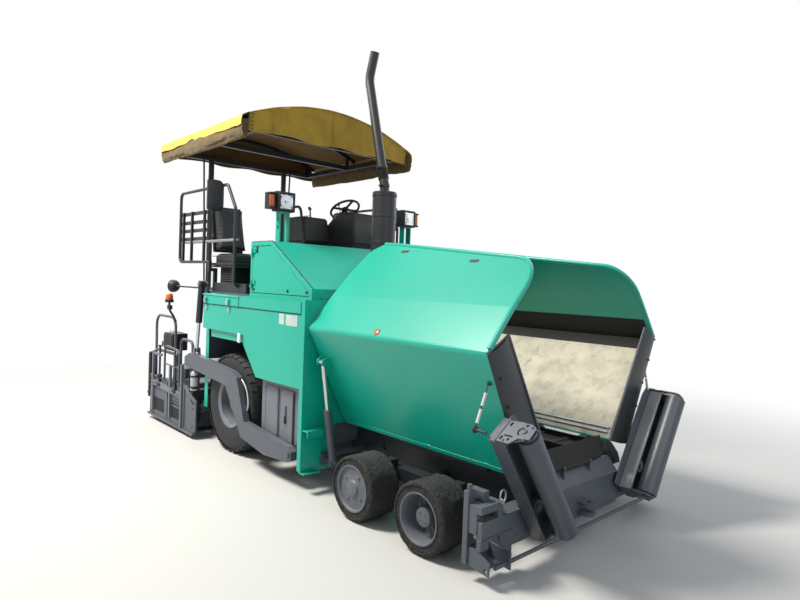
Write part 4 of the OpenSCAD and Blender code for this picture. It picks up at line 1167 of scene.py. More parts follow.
@dataclass(frozen=True)
class Seat(Sided):
    """A padded operator seat: cushion and backrest, blown up softly, with piped seams."""

    x: float = -0.310
    y: float = 0.928
    pan: float = 2.082
    swell: float = 0.02

    def build(self) -> None:
        """Make the pads, the piping and the shell."""
        y = self.y
        base = Shape().block((self.x - 0.255, y - 0.200, self.pan + 0.022),
                             (self.x + 0.245, y + 0.190, 2.205))
        lean = [(self.x - 0.262, 2.252), (self.x - 0.352, 2.772), (self.x - 0.300, 2.786),
                (self.x - 0.165, 2.252)]
        back = Shape().plate([(a, y - 0.192, b) for a, b in lean], (0, 0.376, 0))
        for word, pad in (("cushion", base), ("back", back)):
            made = self.put(pad, f"seat_{word}", "seat_station", SEAT_VINYL,
                            replaces="seat" if word == "cushion" else "")
            self._inflate(made)
        self._piping()
        shell = Shape()
        shell.plate([(self.x - 0.288, y - 0.19, 2.24), (self.x - 0.376, y - 0.19, 2.79),
                     (self.x - 0.364, y - 0.19, 2.79), (self.x - 0.270, y - 0.19, 2.24)], (0, 0.38, 0))
        shell.block((self.x - 0.262, y - 0.222, self.pan), (self.x + 0.256, y + 0.222, self.pan + 0.03))
        self.put(shell, "seat_shell", "seat_station", BLACK_PLASTIC, bevel=0.008)

    def _inflate(self, made: bpy.types.Object) -> None:
        """Blow up a pad as sewn vinyl over foam.

        Args:
            made: the pad, changed in place.
        """
        fine = made.modifiers.new("remesh", "REMESH")
        fine.mode, fine.voxel_size = "VOXEL", 0.012
        round_off = made.modifiers.new("soften", "SMOOTH")
        round_off.factor, round_off.iterations = 0.5, 12
        self._apply(made)
        rest = [v.co.copy() for v in made.data.vertices]
        cloth = made.modifiers.new("blow", "CLOTH")
        cloth.settings.use_pressure = True
        cloth.settings.uniform_pressure_force = 4.0
        cloth.settings.effector_weights.gravity = 0.0
        cloth.settings.quality = 4
        scene = bpy.context.scene
        for step in range(1, 17):
            scene.frame_set(step)
        self._apply(made)
        scene.frame_set(1)
        for vert, start in zip(made.data.vertices, rest):
            move = vert.co - start
            if move.length > self.swell:
                vert.co = start + move.normalized() * self.swell
        fine = made.modifiers.new("smooth", "SUBSURF")
        fine.levels = fine.render_levels = 1
        for face in made.data.polygons:
            face.use_smooth = True

    @staticmethod
    def _apply(made: bpy.types.Object) -> None:
        """Bake the modifiers of an object into its mesh.

        Args:
            made: the object.
        """
        seen = made.evaluated_get(bpy.context.evaluated_depsgraph_get())
        data = bpy.data.meshes.new_from_object(seen)
        made.modifiers.clear()
        made.data = data

    def _piping(self) -> None:
        """Sew the piping round the cushion."""
        shape = Shape()
        x0, x1, y0, y1, z = self.x - 0.262, self.x + 0.252, self.y - 0.218, self.y + 0.200, 2.19
        loop = [(x0, y0, z), (x1, y0, z), (x1 + 0.004, self.y, z), (x1, y1, z), (x0, y1, z)]
        shape.pipe(curve_through(loop, 6), 0.005, 8)
        self.put(shape, "seat_piping", "seat_station", BLACK_PLASTIC)


@dataclass(frozen=True)
class RearWheel(Sided):
    """Air-filled drive tyre with block tread, and the ring, bolts and hub on its rim."""

    radius: float = 0.549
    width: float = 0.365
    face: float = 1.165
    rim: float = 0.256
    lugs: int = 34

    @property
    def middle(self) -> float:
        """The wheel's middle in Y."""
        return self.face - self.width / 2

    def build(self) -> None:
        """Make the wheel."""
        self._tyre()
        self._dress_rim()

    def _tyre(self) -> None:
        """Make the carcass with its bead, ribs and tread blocks."""
        w, top = self.width / 2, self.radius - 0.010
        half = [(self.rim + 0.003, w - 0.040), (self.rim + 0.012, w - 0.024), (self.rim + 0.030, w - 0.016),
                (self.rim + 0.036, w - 0.010), (self.rim + 0.050, w - 0.012), (0.330, w - 0.006),
                (0.372, w - 0.001), (0.378, w), (0.384, w - 0.001), (0.430, w - 0.006), (0.470, w - 0.014),
                (0.498, w - 0.020), (top - 0.012, w - 0.034), (top, w - 0.060), (top + 0.002, w * 0.4)]
        profile = half + [(r, -h) for r, h in reversed(half)]
        shape = Shape()
        centre = (0.0, self.middle, self.radius + 0.001)
        shape.lathe(centre, ACROSS, profile, 144)
        self._tread(shape, centre)
        self.put(shape, "rear_tyre_tread", "rear_wheel", TYRE_RUBBER, replaces="rear_tyre", smooth=38)

    def _tread(self, shape: Shape, centre: Spot) -> None:
        """Add the tread blocks: a staggered shoulder row on each side and two rows in the middle.

        Args:
            shape: the tyre's shape.
            centre: the wheel's centre.
        """
        w = self.width / 2
        step = math.tau / self.lugs
        rows = (
            # from, to across, start and end of the block round the tyre, lean of its far end
            (0.104, w - 0.014, 0.06, 0.88, 0.10),
            (0.012, 0.096, 0.34, 1.16, 0.26),
            (-0.096, -0.012, 0.84, 1.66, -0.26),
            (-w + 0.014, -0.104, 0.56, 1.38, -0.10),
        )
        for k in range(self.lugs):
            for y0, y1, a0, a1, lean in rows:
                corners = [(y0, a0), (y1, a0 + lean), (y1, a1 + lean), (y0, a1)]
                low, high = [], []
                mid_y = (y0 + y1) / 2
                mid_a = (a0 + a1 + lean) / 2
                for y, a in corners:
                    for points, r, shrink in ((low, self.radius - 0.020, 1.02), (high, self.radius, 0.975)):
                        yy = mid_y + (y - mid_y) * shrink
                        angle = (k + mid_a + (a - mid_a) * shrink) * step
                        drop = 0.020 * max(0.0, (abs(yy) - 0.11) / 0.07) ** 2
                        points.append((centre[0] + (r - drop) * math.cos(angle), centre[1] + yy,
                                       centre[2] + (r - drop) * math.sin(angle)))
                shape.grow(low + high, [(4, 5, 6, 7), (0, 1, 5, 4), (1, 2, 6, 5), (2, 3, 7, 6),
                                        (3, 0, 4, 7)])

    def _dress_rim(self) -> None:
        """Add the lock ring, the wheel bolts, the hub cap with its plugs and the valve."""
        body = "rear_wheel"
        hub_y = self.middle + 0.062
        z = self.radius + 0.001
        ring = Shape()
        ring.lathe((0, self.face - 0.020, z), ACROSS,
                   [(0.238, -0.012), (0.252, -0.004), (0.268, 0.004), (0.276, 0.004), (0.276, -0.006)], 96)
        self.put(ring, "rear_lock_ring", body, PALE_GREY_ENAMEL)
        nuts = Shape()
        for u, v in around(10, 0.140):
            nuts.bolt((u, hub_y, z + v), ACROSS, 0.016)
        for u, v in around(6, 0.066, 0.5):
            nuts.bolt((u, hub_y + 0.036, z + v), ACROSS, 0.007)
        self.put(nuts, "rear_wheel_nuts", body, RIM_PAINT)
        cap = Shape()
        cap.lathe((0, hub_y, z), ACROSS, [(0.108, 0.001), (0.104, 0.020), (0.090, 0.034), (0.040, 0.037),
                                          (0.030, 0.046), (0.0, 0.048)], 48)
        self.put(cap, "rear_hub_cap", body, GREY_ENAMEL)
        valve = Shape().rod((0.185, hub_y - 0.02, z), (0.196, hub_y + 0.035, z), 0.005, 10)
        self.put(valve, "rear_valve", body, HOSE_RUBBER)


@dataclass(frozen=True)
class FrontWheel(Sided):
    """Solid tyre that is crusted with mix, on a pressed rim with a deep dish or a cover plate."""

    axle: int
    x: float
    radius: float = 0.270
    width: float = 0.300
    face: float = 1.250
    rim: float = 0.195

    def build(self) -> None:
        """Make the wheel."""
        self._tyre()
        self._wheel()

    def _crust(self, spot: Vector) -> float:
        """How thick the dried mix stands at a place.

        Args:
            spot: the place, in metres.

        Returns:
            The thickness in metres, below zero where the rubber shows.
        """
        big = noise.noise(spot * 9.0 + Vector((self.axle * 3.0, 0, 0)))
        grit = noise.noise(spot * 55.0)
        chunk = max(0.0, noise.noise(spot * 24.0) - 0.18)
        return -0.0075 + 0.004 * big + 0.0035 * grit + 0.014 * chunk

    def _tyre(self) -> None:
        """Make the solid tyre with its crust."""
        w, r = self.width / 2, self.radius
        profile = [(self.rim - 0.016, -w + 0.012), (self.rim - 0.010, -w + 0.004), (self.rim + 0.010, -w)]
        profile += [(self.rim + 0.010 + (r - 0.024 - self.rim - 0.010) * k / 5, -w) for k in range(1, 6)]
        profile += [(r - 0.024 + 0.024 * math.sin(k * math.pi / 10),
                     -w + 0.024 - 0.024 * math.cos(k * math.pi / 10)) for k in range(1, 6)]
        profile += [(r, -w + 0.024 + (2 * w - 0.048) * k / 16) for k in range(1, 17)]
        profile += [(r - 0.024 + 0.024 * math.cos(k * math.pi / 10),
                     w - 0.024 + 0.024 * math.sin(k * math.pi / 10)) for k in range(1, 6)]
        profile += [(self.rim + 0.010 + (r - 0.024 - self.rim - 0.010) * (5 - k) / 5, w)
                    for k in range(1, 6)]
        profile += [(self.rim - 0.010, w - 0.004), (self.rim - 0.016, w - 0.012)]
        shape = Shape()
        shape.lathe((self.x, self.face - w, r), ACROSS, profile, 160)
        for vert in shape.mesh.verts:
            out = vert.co - Vector((self.x, vert.co.y, r))
            far = out.length
            if far < self.rim + 0.004:
                continue
            lift = self._crust(vert.co)
            if far > r - 0.03:
                vert.co += out.normalized() * lift
            else:
                vert.co.y += (1 if vert.co.y > self.face - w else -1) * (lift - 0.001)
        self.put(shape, f"front_tyre_{self.axle}", f"front_wheel_{self.axle}", CRUSTED_RUBBER, smooth=60,
                 replaces=f"front_wheel_{self.axle}")

    def _wheel(self) -> None:
        """Make the rim with its disc, hub and bolts."""
        body = f"front_wheel_{self.axle}"
        face, z = self.face, self.radius
        rim = Shape()
        w = self.width / 2
        mid = face - w
        rim.lathe((self.x, mid, z), ACROSS, [
            (self.rim - 0.012, w - 0.010), (self.rim - 0.004, w - 0.004), (self.rim - 0.006, w),
            (self.rim - 0.018, w - 0.002), (self.rim - 0.026, w - 0.020), (self.rim - 0.034, w - 0.060),
            (self.rim - 0.036, 0.020), (self.rim - 0.050, 0.004), (0.080, 0.004), (0.074, 0.004),
            (0.074, -0.010), (self.rim - 0.050, -0.010), (self.rim - 0.030, -0.020),
            (self.rim - 0.024, -w + 0.02), (self.rim - 0.012, -w + 0.006)], 96)
        if self.axle == 2:
            rim.lathe((self.x, mid, z), ACROSS, [
                (self.rim - 0.020, w - 0.034), (self.rim - 0.020, w - 0.022), (0.100, w - 0.022),
                (0.092, w - 0.020), (0.070, w - 0.020), (0.064, w - 0.012), (0.060, w - 0.004),
                (0.050, w - 0.001), (0.0, w - 0.001)], 96)
        else:
            rim.lathe((self.x, mid, z), ACROSS, [
                (0.130, 0.004), (0.118, 0.016), (0.086, 0.020), (0.080, 0.060), (0.070, 0.096),
                (0.058, 0.100), (0.0, 0.101)], 64)
            for k in range(6):
                turn = Matrix.Rotation(math.tau * k / 6, 3, "Y")
                rib = [turn @ Vector(p)
                       for p in ((0.078, 0, -0.006), (0.150, 0, -0.006), (0.150, 0, 0.006),
                                 (0.078, 0, 0.006))]
                rim.plate([(self.x + p.x, mid + 0.003, z + p.z) for p in rib], (0, 0.030, 0))
        self.put(rim, f"front_rim_{self.axle}", body, RIM_PAINT, bevel=0.002)
        bolts = Shape()
        if self.axle == 2:
            for k in range(8):
                a = math.tau * k / 8 + 0.2
                spot = (self.x + 0.118 * math.cos(a), face - 0.022, z + 0.118 * math.sin(a))
                if k % 2:
                    bolts.bolt(spot, ACROSS, 0.011)
                else:
                    bolts.lathe(spot, ACROSS, [(0.017, -0.001), (0.017, 0.002), (0.011, 0.002),
                                               (0.011, -0.004), (0, -0.004)], 20)
        else:
            for u, v in around(6, 0.105, 0.5):
                bolts.bolt((self.x + u, mid + 0.017, z + v), ACROSS, 0.012)
            for u, v in around(4, 0.040, 0.5):
                bolts.bolt((self.x + u, mid + 0.101, z + v), ACROSS, 0.006)
        self.put(bolts, f"front_wheel_bolts_{self.axle}", body, RIM_PAINT)


@dataclass(frozen=True)
class Exhaust:
    """Shell bands, clamps, ribbed sleeve and open tip of the exhaust stack."""

    y: float = 0.155
    muffler: tuple[float, float, float] = (1.000, 2.960, 0.135)
    pipe: float = 0.053
    low_bend: tuple[float, float] = (0.990, 3.060)
    high_bend: tuple[float, float] = (0.650, 4.310)
    tip: tuple[float, float] = (0.738, 4.606)

    def build(self) -> None:
        """Make the muffler's shell bands, the pipe's clamps and the open tip."""
        x, top, radius = self.muffler
        bands = Shape()
        for z in (2.40, 2.70, top - 0.030):
            bands.lathe((x, self.y, z), UP, [(radius, -0.014), (radius + 0.0035, -0.012),
                                             (radius + 0.0035, 0.012), (radius, 0.014)], 64)
        bands.lathe((x, self.y, top), UP, [(radius + 0.002, -0.012), (radius + 0.002, 0.004),
                                           (radius - 0.008, 0.012), (self.pipe + 0.004, 0.016)], 64)
        for k in range(6):
            a = math.tau * (k + 0.5) / 6
            out = Vector((math.cos(a), math.sin(a), 0))
            spot = Vector((x, self.y, top - 0.030)) + out * (radius + 0.002)
            bands.bolt(tuple(spot), tuple(out), 0.010)
        bands.piece("exhaust_bands", "tractor", EXHAUST_STEEL)
        lean = Vector((self.high_bend[0] - self.low_bend[0], 0,
                       self.high_bend[1] - self.low_bend[1])).normalized()
        low = Vector((self.low_bend[0], self.y, self.low_bend[1]))
        clamps = Shape()
        for centre, axis in ((Vector((0.992, self.y, 3.045)), Vector((-0.09, 0, 1))),
                             (low + lean * 0.20, lean)):
            clamps.lathe(tuple(centre), tuple(axis),
                         [(self.pipe, -0.018), (self.pipe + 0.006, -0.016), (self.pipe + 0.006, 0.016),
                          (self.pipe, 0.018)], 48)
            ear = centre + Vector((0, -self.pipe - 0.014, 0))
            clamps.rod(tuple(ear - Vector((0.03, 0, 0))), tuple(ear + Vector((0.03, 0, 0))), 0.0055, 10)
            clamps.bolt(tuple(ear + Vector((0.028, 0, 0))), AHEAD, 0.009)
            clamps.block(tuple(ear + Vector((-0.006, -0.004, -0.014))),
                         tuple(ear + Vector((0.006, 0.018, 0.014))))
        clamps.piece("exhaust_clamps", "tractor", EXHAUST_STEEL)
        sleeve = Shape()
        ribs = [(self.pipe, 0.0)]
        for k in range(12):
            ribs += [(self.pipe + 0.002, 0.003 + 0.010 * k), (self.pipe + 0.007, 0.006 + 0.010 * k),
                     (self.pipe + 0.002, 0.010 + 0.010 * k)]
        ribs.append((self.pipe, 0.126))
        sleeve.lathe(tuple(low + lean * 0.055), tuple(lean), ribs, 48)
        sleeve.piece("exhaust_bellows", "tractor", EXHAUST_STEEL)
        way = Vector((self.tip[0] - self.high_bend[0], 0, self.tip[1] - self.high_bend[1]))
        rim = self.pipe
        mouth = Shape()
        mouth.lathe((self.tip[0], self.y, self.tip[1]), tuple(way),
                    [(rim, -0.02), (rim + 0.001, -0.002), (rim - 0.003, -0.001), (rim - 0.007, -0.004),
                     (rim - 0.009, 0.0)], 40)
        mouth.lathe((self.tip[0], self.y, self.tip[1]), tuple(way), [(rim - 0.006, 0.0005), (0, 0.0005)], 40)
        mouth.piece("exhaust_tip", "tractor", EXHAUST_STEEL)


@dataclass(frozen=True)
class Lamps(Sided):
    """Lenses, reflectors, bezels, guards and turn signals of the two headlamps."""

    x: float = 0.570
    y: float = 0.890
    z: float = 2.767

    def build(self) -> None:
        """Make the lamp's visible faces."""
        face = self.x + 0.060
        bezel = Shape()
        outer = [(self.y - 0.100, self.z - 0.098), (self.y + 0.100, self.z - 0.098),
                 (self.y + 0.100, self.z + 0.098), (self.y - 0.100, self.z + 0.098)]
        inner = [(self.y - 0.078, self.z - 0.076), (self.y + 0.078, self.z - 0.076),
                 (self.y + 0.078, self.z + 0.076), (self.y - 0.078, self.z + 0.076)]
        rows = [[(face - 0.004, a, b) for a, b in outer], [(face + 0.018, a, b) for a, b in outer],
                [(face + 0.020, a, b) for a, b in inner], [(face + 0.003, a, b) for a, b in inner]]
        bezel.surface(rows, wrap=True)
        self.put(bezel, "headlamp_bezel", "tractor", BLACK_PLASTIC, bevel=0.006)
        glass = Shape()
        steps = 12
        rows = []
        for i in range(steps + 1):
            v = 2 * i / steps - 1
            rows.append([(face + 0.010 + 0.010 * (1 - u * u) * (1 - v * v), self.y + 0.078 * u,
                          self.z + 0.076 * v) for u in (2 * j / steps - 1 for j in range(steps + 1))])
        glass.surface(rows)
        for j in range(-5, 6):
            glass.pipe([(face + 0.0145, self.y + j * 0.0135, self.z - 0.062),
                        (face + 0.0185, self.y + j * 0.0135, self.z),
                        (face + 0.0145, self.y + j * 0.0135, self.z + 0.062)], 0.0016, 6)
        self.put(glass, "headlamp_lens", "tractor", LAMP_GLASS)
        bowl = Shape()
        bowl.lathe((face, self.y, self.z), AHEAD,
                   [(0.074, 0.0085), (0.066, 0.0050), (0.050, 0.0024), (0.030, 0.0014), (0.016, 0.0012)], 32)
        for j in (-1, 1):
            bowl.block((face, self.y - 0.074, self.z + j * 0.066 - 0.008),
                       (face + 0.004, self.y + 0.074, self.z + j * 0.066 + 0.008))
        self.put(bowl, "headlamp_reflector", "tractor", LAMP_MIRROR)
        amber = Shape()
        amber.block((self.x - 0.030, self.y + 0.120, self.z - 0.066),
                    (self.x + 0.036, self.y + 0.184, self.z + 0.070))
        self.put(amber, "turn_lamp", "tractor", AMBER_LENS, bevel=0.012)
        cap = Shape()
        cap.block((self.x - 0.058, self.y + 0.106, self.z + 0.068),
                  (self.x + 0.044, self.y + 0.192, self.z + 0.086))
        cap.block((self.x - 0.058, self.y + 0.106, self.z - 0.086),
                  (self.x + 0.044, self.y + 0.192, self.z - 0.068))
        self.put(cap, "turn_lamp_cap", "tractor", BLACK_PLASTIC, bevel=0.004)
        bolts = Shape()
        for y in (self.y - 0.066, self.y + 0.066):
            for z in (2.50, 2.58):
                bolts.bolt((self.x, y, z), (0, 1 if y > self.y else -1, 0), 0.009)
        self.put(bolts, "headlamp_bolts", "tractor", GREEN_ENAMEL)


@dataclass(frozen=True)
class Hood:
    """Seals round the hood and the screws of its doors."""

    rear: float = 0.385
    bend: float = 0.800
    front: float = 1.545
    top: float = 2.330
    low: float = 1.870
    half: float = 1.150

    def slope(self, x: float) -> float:
        """Height of the hood's skin at a place along it.

        Args:
            x: metres from the rear axle.

        Returns:
            The height in metres.
        """
        if x <= self.bend:
            return self.top
        return self.top + (self.low - self.top) * (x - self.bend) / (self.front - self.bend)

    def build(self) -> None:
        """Make what is fastened on the hood."""
        seal = Shape()
        for y in (-self.half + 0.012, self.half - 0.012):
            line = [(x, y, self.slope(x) + 0.003)
                    for x in (self.rear + 0.004, self.bend, self.front - 0.004)]
            seal.pipe(line, 0.0045, 8)
        seal.pipe([(self.rear + 0.002, y, self.top + 0.002)
                   for y in (-self.half + 0.012, self.half - 0.012)], 0.0045, 8)
        seal.piece("hood_edge_seal", "tractor", FLAP_RUBBER)
        for side in Side:
            screws = Shape()
            for x, z in ((0.52, 2.270), (0.47, 1.835), (1.13, 1.835), (1.46, 1.835)):
                screws.lathe((x, self.half, z), ACROSS,
                             [(0.015, -0.001), (0.015, 0.004), (0.009, 0.008), (0, 0.008)], 20)
            screws.block((0.510, self.half - 0.001, 2.215), (0.532, self.half + 0.006, 2.262))
            screws.piece(f"hood_door_screws_{side.word}", f"hood_door_{side.word}", FLAP_RUBBER, side)


@dataclass(frozen=True)
class BodySides(Sided):
    """Lid line, latches, plates, hoses and fasteners on the side plates and tanks."""

    skin: float = 1.240
    rear: float = -0.540
    front: float = 1.555
    lid_low: float = 1.640
    lid_end: float = 0.330
    lid_top: float = 1.742

    def build(self) -> None:
        """Make the side's fittings."""
        self._seams()
        self._latches()
        self._signs()
        self._tank_doors()
        self._steps()
        self._hoses()

    def _seams(self) -> None:
        """Lay the fixed half of the lid line, the hemmed arch and the front edge's flange."""
        y = self.skin
        shape = Shape()
        shape.block((self.front - 0.030, y - 0.004, 0.20), (self.front + 0.028, y + 0.003, 1.768))
        shape.block((self.lid_end + 0.010, y - 0.002, self.lid_low),
                    (self.front - 0.032, y + 0.010, self.lid_top + 0.006))
        self.put(shape, "side_flange", "tractor", GREEN_ENAMEL, bevel=0.002)
        arch = [(0.440, y - 0.002, 1.346), (0.446, y - 0.002, 1.252), (0.586, y - 0.002, 1.101),
                (0.726, y - 0.002, 0.951), (self.front - 0.03, y - 0.002, 0.956)]
        hem = Shape().pipe(arch, 0.0055, 8)
        self.put(hem, "arch_hem", "tractor", GREEN_ENAMEL)
        seal = Shape()
        seal.block((self.rear + 0.012, y - 0.001, self.lid_low - 0.009),
                   (self.front - 0.034, y + 0.004, self.lid_low - 0.003))
        self.put(seal, "lid_seal", "tractor", FLAP_RUBBER)
        tops = Shape()
        tops.pipe([(self.rear + 0.004, y - 0.004, 1.752), (self.front - 0.02, y - 0.004, 1.752)], 0.006, 8)
        self.put(tops, "side_top_fold", "tractor", GREEN_ENAMEL)

    def _latches(self) -> None:
        """Make the toggle latches of the long lid and the side plates."""
        y = self.skin + 0.024
        shape = Shape()
        for x in (-0.449, 0.105):
            shape.block((x - 0.020, y, 1.646), (x + 0.020, y + 0.004, 1.708))
            shape.block((x - 0.013, y + 0.003, 1.652), (x + 0.013, y + 0.014, 1.696))
            shape.rod((x - 0.018, y + 0.008, 1.700), (x + 0.018, y + 0.008, 1.700), 0.005, 10)
            shape.pipe([(x - 0.010, y + 0.008, 1.698), (x - 0.010, y + 0.004, 1.642),
                        (x + 0.010, y + 0.004, 1.642), (x + 0.010, y + 0.008, 1.698)], 0.003, 6)
        self.put(shape, "lid_toggles", "lid", GAS_BOTTLE, bevel=0.001)
        hooks = Shape()
        for x in (-0.449, 0.105):
            hooks.block((x - 0.018, self.skin - 0.001, 1.566), (x + 0.018, self.skin + 0.010, 1.630))
            hooks.block((x - 0.010, self.skin + 0.008, 1.572), (x + 0.010, self.skin + 0.018, 1.600))
            hooks.bolt((x, self.skin + 0.009, 1.615), ACROSS, 0.006)
        self.put(hooks, "lid_hooks", "tractor", GAS_BOTTLE, bevel=0.0015)

    def _signs(self) -> None:
        """Screw on the white reflector and the blank name plate."""
        y = self.skin
        white = Shape().block((0.318, y - 0.001, 1.262), (0.378, y + 0.008, 1.360))
        self.put(white, "side_reflector", "tractor", WHITE_REFLECTOR, bevel=0.003)
        plate = Shape()
        plate.block((1.140, y - 0.001, 1.520), (1.230, y + 0.0025, 1.622))
        plate.block((1.262, y - 0.001, 1.516), (1.460, y + 0.0025, 1.618))
        for x, z in ((1.270, 1.524), (1.452, 1.524), (1.270, 1.610), (1.452, 1.610)):
            plate.lathe((x, y + 0.0025, z), ACROSS, [(0.004, 0), (0.003, 0.0015), (0, 0.002)], 10)
        self.put(plate, "side_plates", "tractor", NAME_PLATE, bevel=0.001)

    def _tank_doors(self) -> None:
        """Make the tank covers' gap, latch slots and screws."""
        dark, shape = Shape(), Shape()
        y = 1.172
        dark.block((1.315, y - 0.002, 0.400), (1.338, y + 0.001, 0.880))
        dark.block((1.066, y - 0.010, 0.388), (1.078, y - 0.004, 0.888))
        self.put(dark, "tank_door_gap", "tractor", FLAP_RUBBER)
        for x in (0.822, 1.097):
            shape.pipe([(x, y, 0.402), (x + 0.226, y, 0.402), (x + 0.226, y, 0.876), (x, y, 0.876)], 0.004,
                       6, closed=True)
        for x, z in ((0.84, 0.42), (1.02, 0.42), (0.84, 0.86), (1.02, 0.86), (1.11, 0.42), (1.11, 0.86)):
            shape.bolt((x, y, z), ACROSS, 0.006)
        self.put(shape, "tank_door_folds", "tractor", PALE_GREY_ENAMEL)
        latch = Shape()
        latch.block((1.196, y - 0.001, 0.560), (1.214, y + 0.006, 0.730))
        latch.rod((1.205, y + 0.004, 0.575), (1.205, y + 0.018, 0.575), 0.010, 14)
        latch.rod((1.205, y + 0.016, 0.570), (1.205, y + 0.016, 0.640), 0.005, 10)
        self.put(latch, "tank_door_latch", "tractor", DARK_ENAMEL)

    def _steps(self) -> None:
        """Punch the step's grip and screw the side to the bulkhead."""
        shape = Shape()
        x0 = self.front + 0.034
        for k in range(7):
            y = 1.075 + 0.024 * k
            shape.lathe((x0 + 0.045, y, 0.5905), UP,
                        [(0.008, 0), (0.006, 0.004), (0.004, 0.004), (0.004, 0)], 14)
        for z in (0.30, 0.52, 0.78, 1.10, 1.42, 1.70):
            shape.bolt((self.front + 0.031, self.skin - 0.040, z), AHEAD, 0.008)
        for x, z in ((0.472, 1.300), (0.472, 1.460), (-0.46, 1.40), (0.30, 1.43)):
            shape.lathe((x, self.skin, z), ACROSS, [(0.009, -0.001), (0.008, 0.003), (0, 0.005)], 14)
        self.put(shape, "side_screws", "tractor", GREEN_ENAMEL)

    def _hoses(self) -> None:
        """Run the washing hose behind the arm."""
        pale = Shape().pipe(curve_through([(0.080, 1.192, 0.890), (0.150, 1.194, 0.904),
                                           (0.240, 1.196, 0.900), (0.335, 1.196, 0.876),
                                           (0.455, 1.196, 0.784), (0.505, 1.195, 0.650),
                                           (0.485, 1.192, 0.560)], 8), 0.008, 10)
        self.put(pale, "spray_hose", "screed", PALE_HOSE)


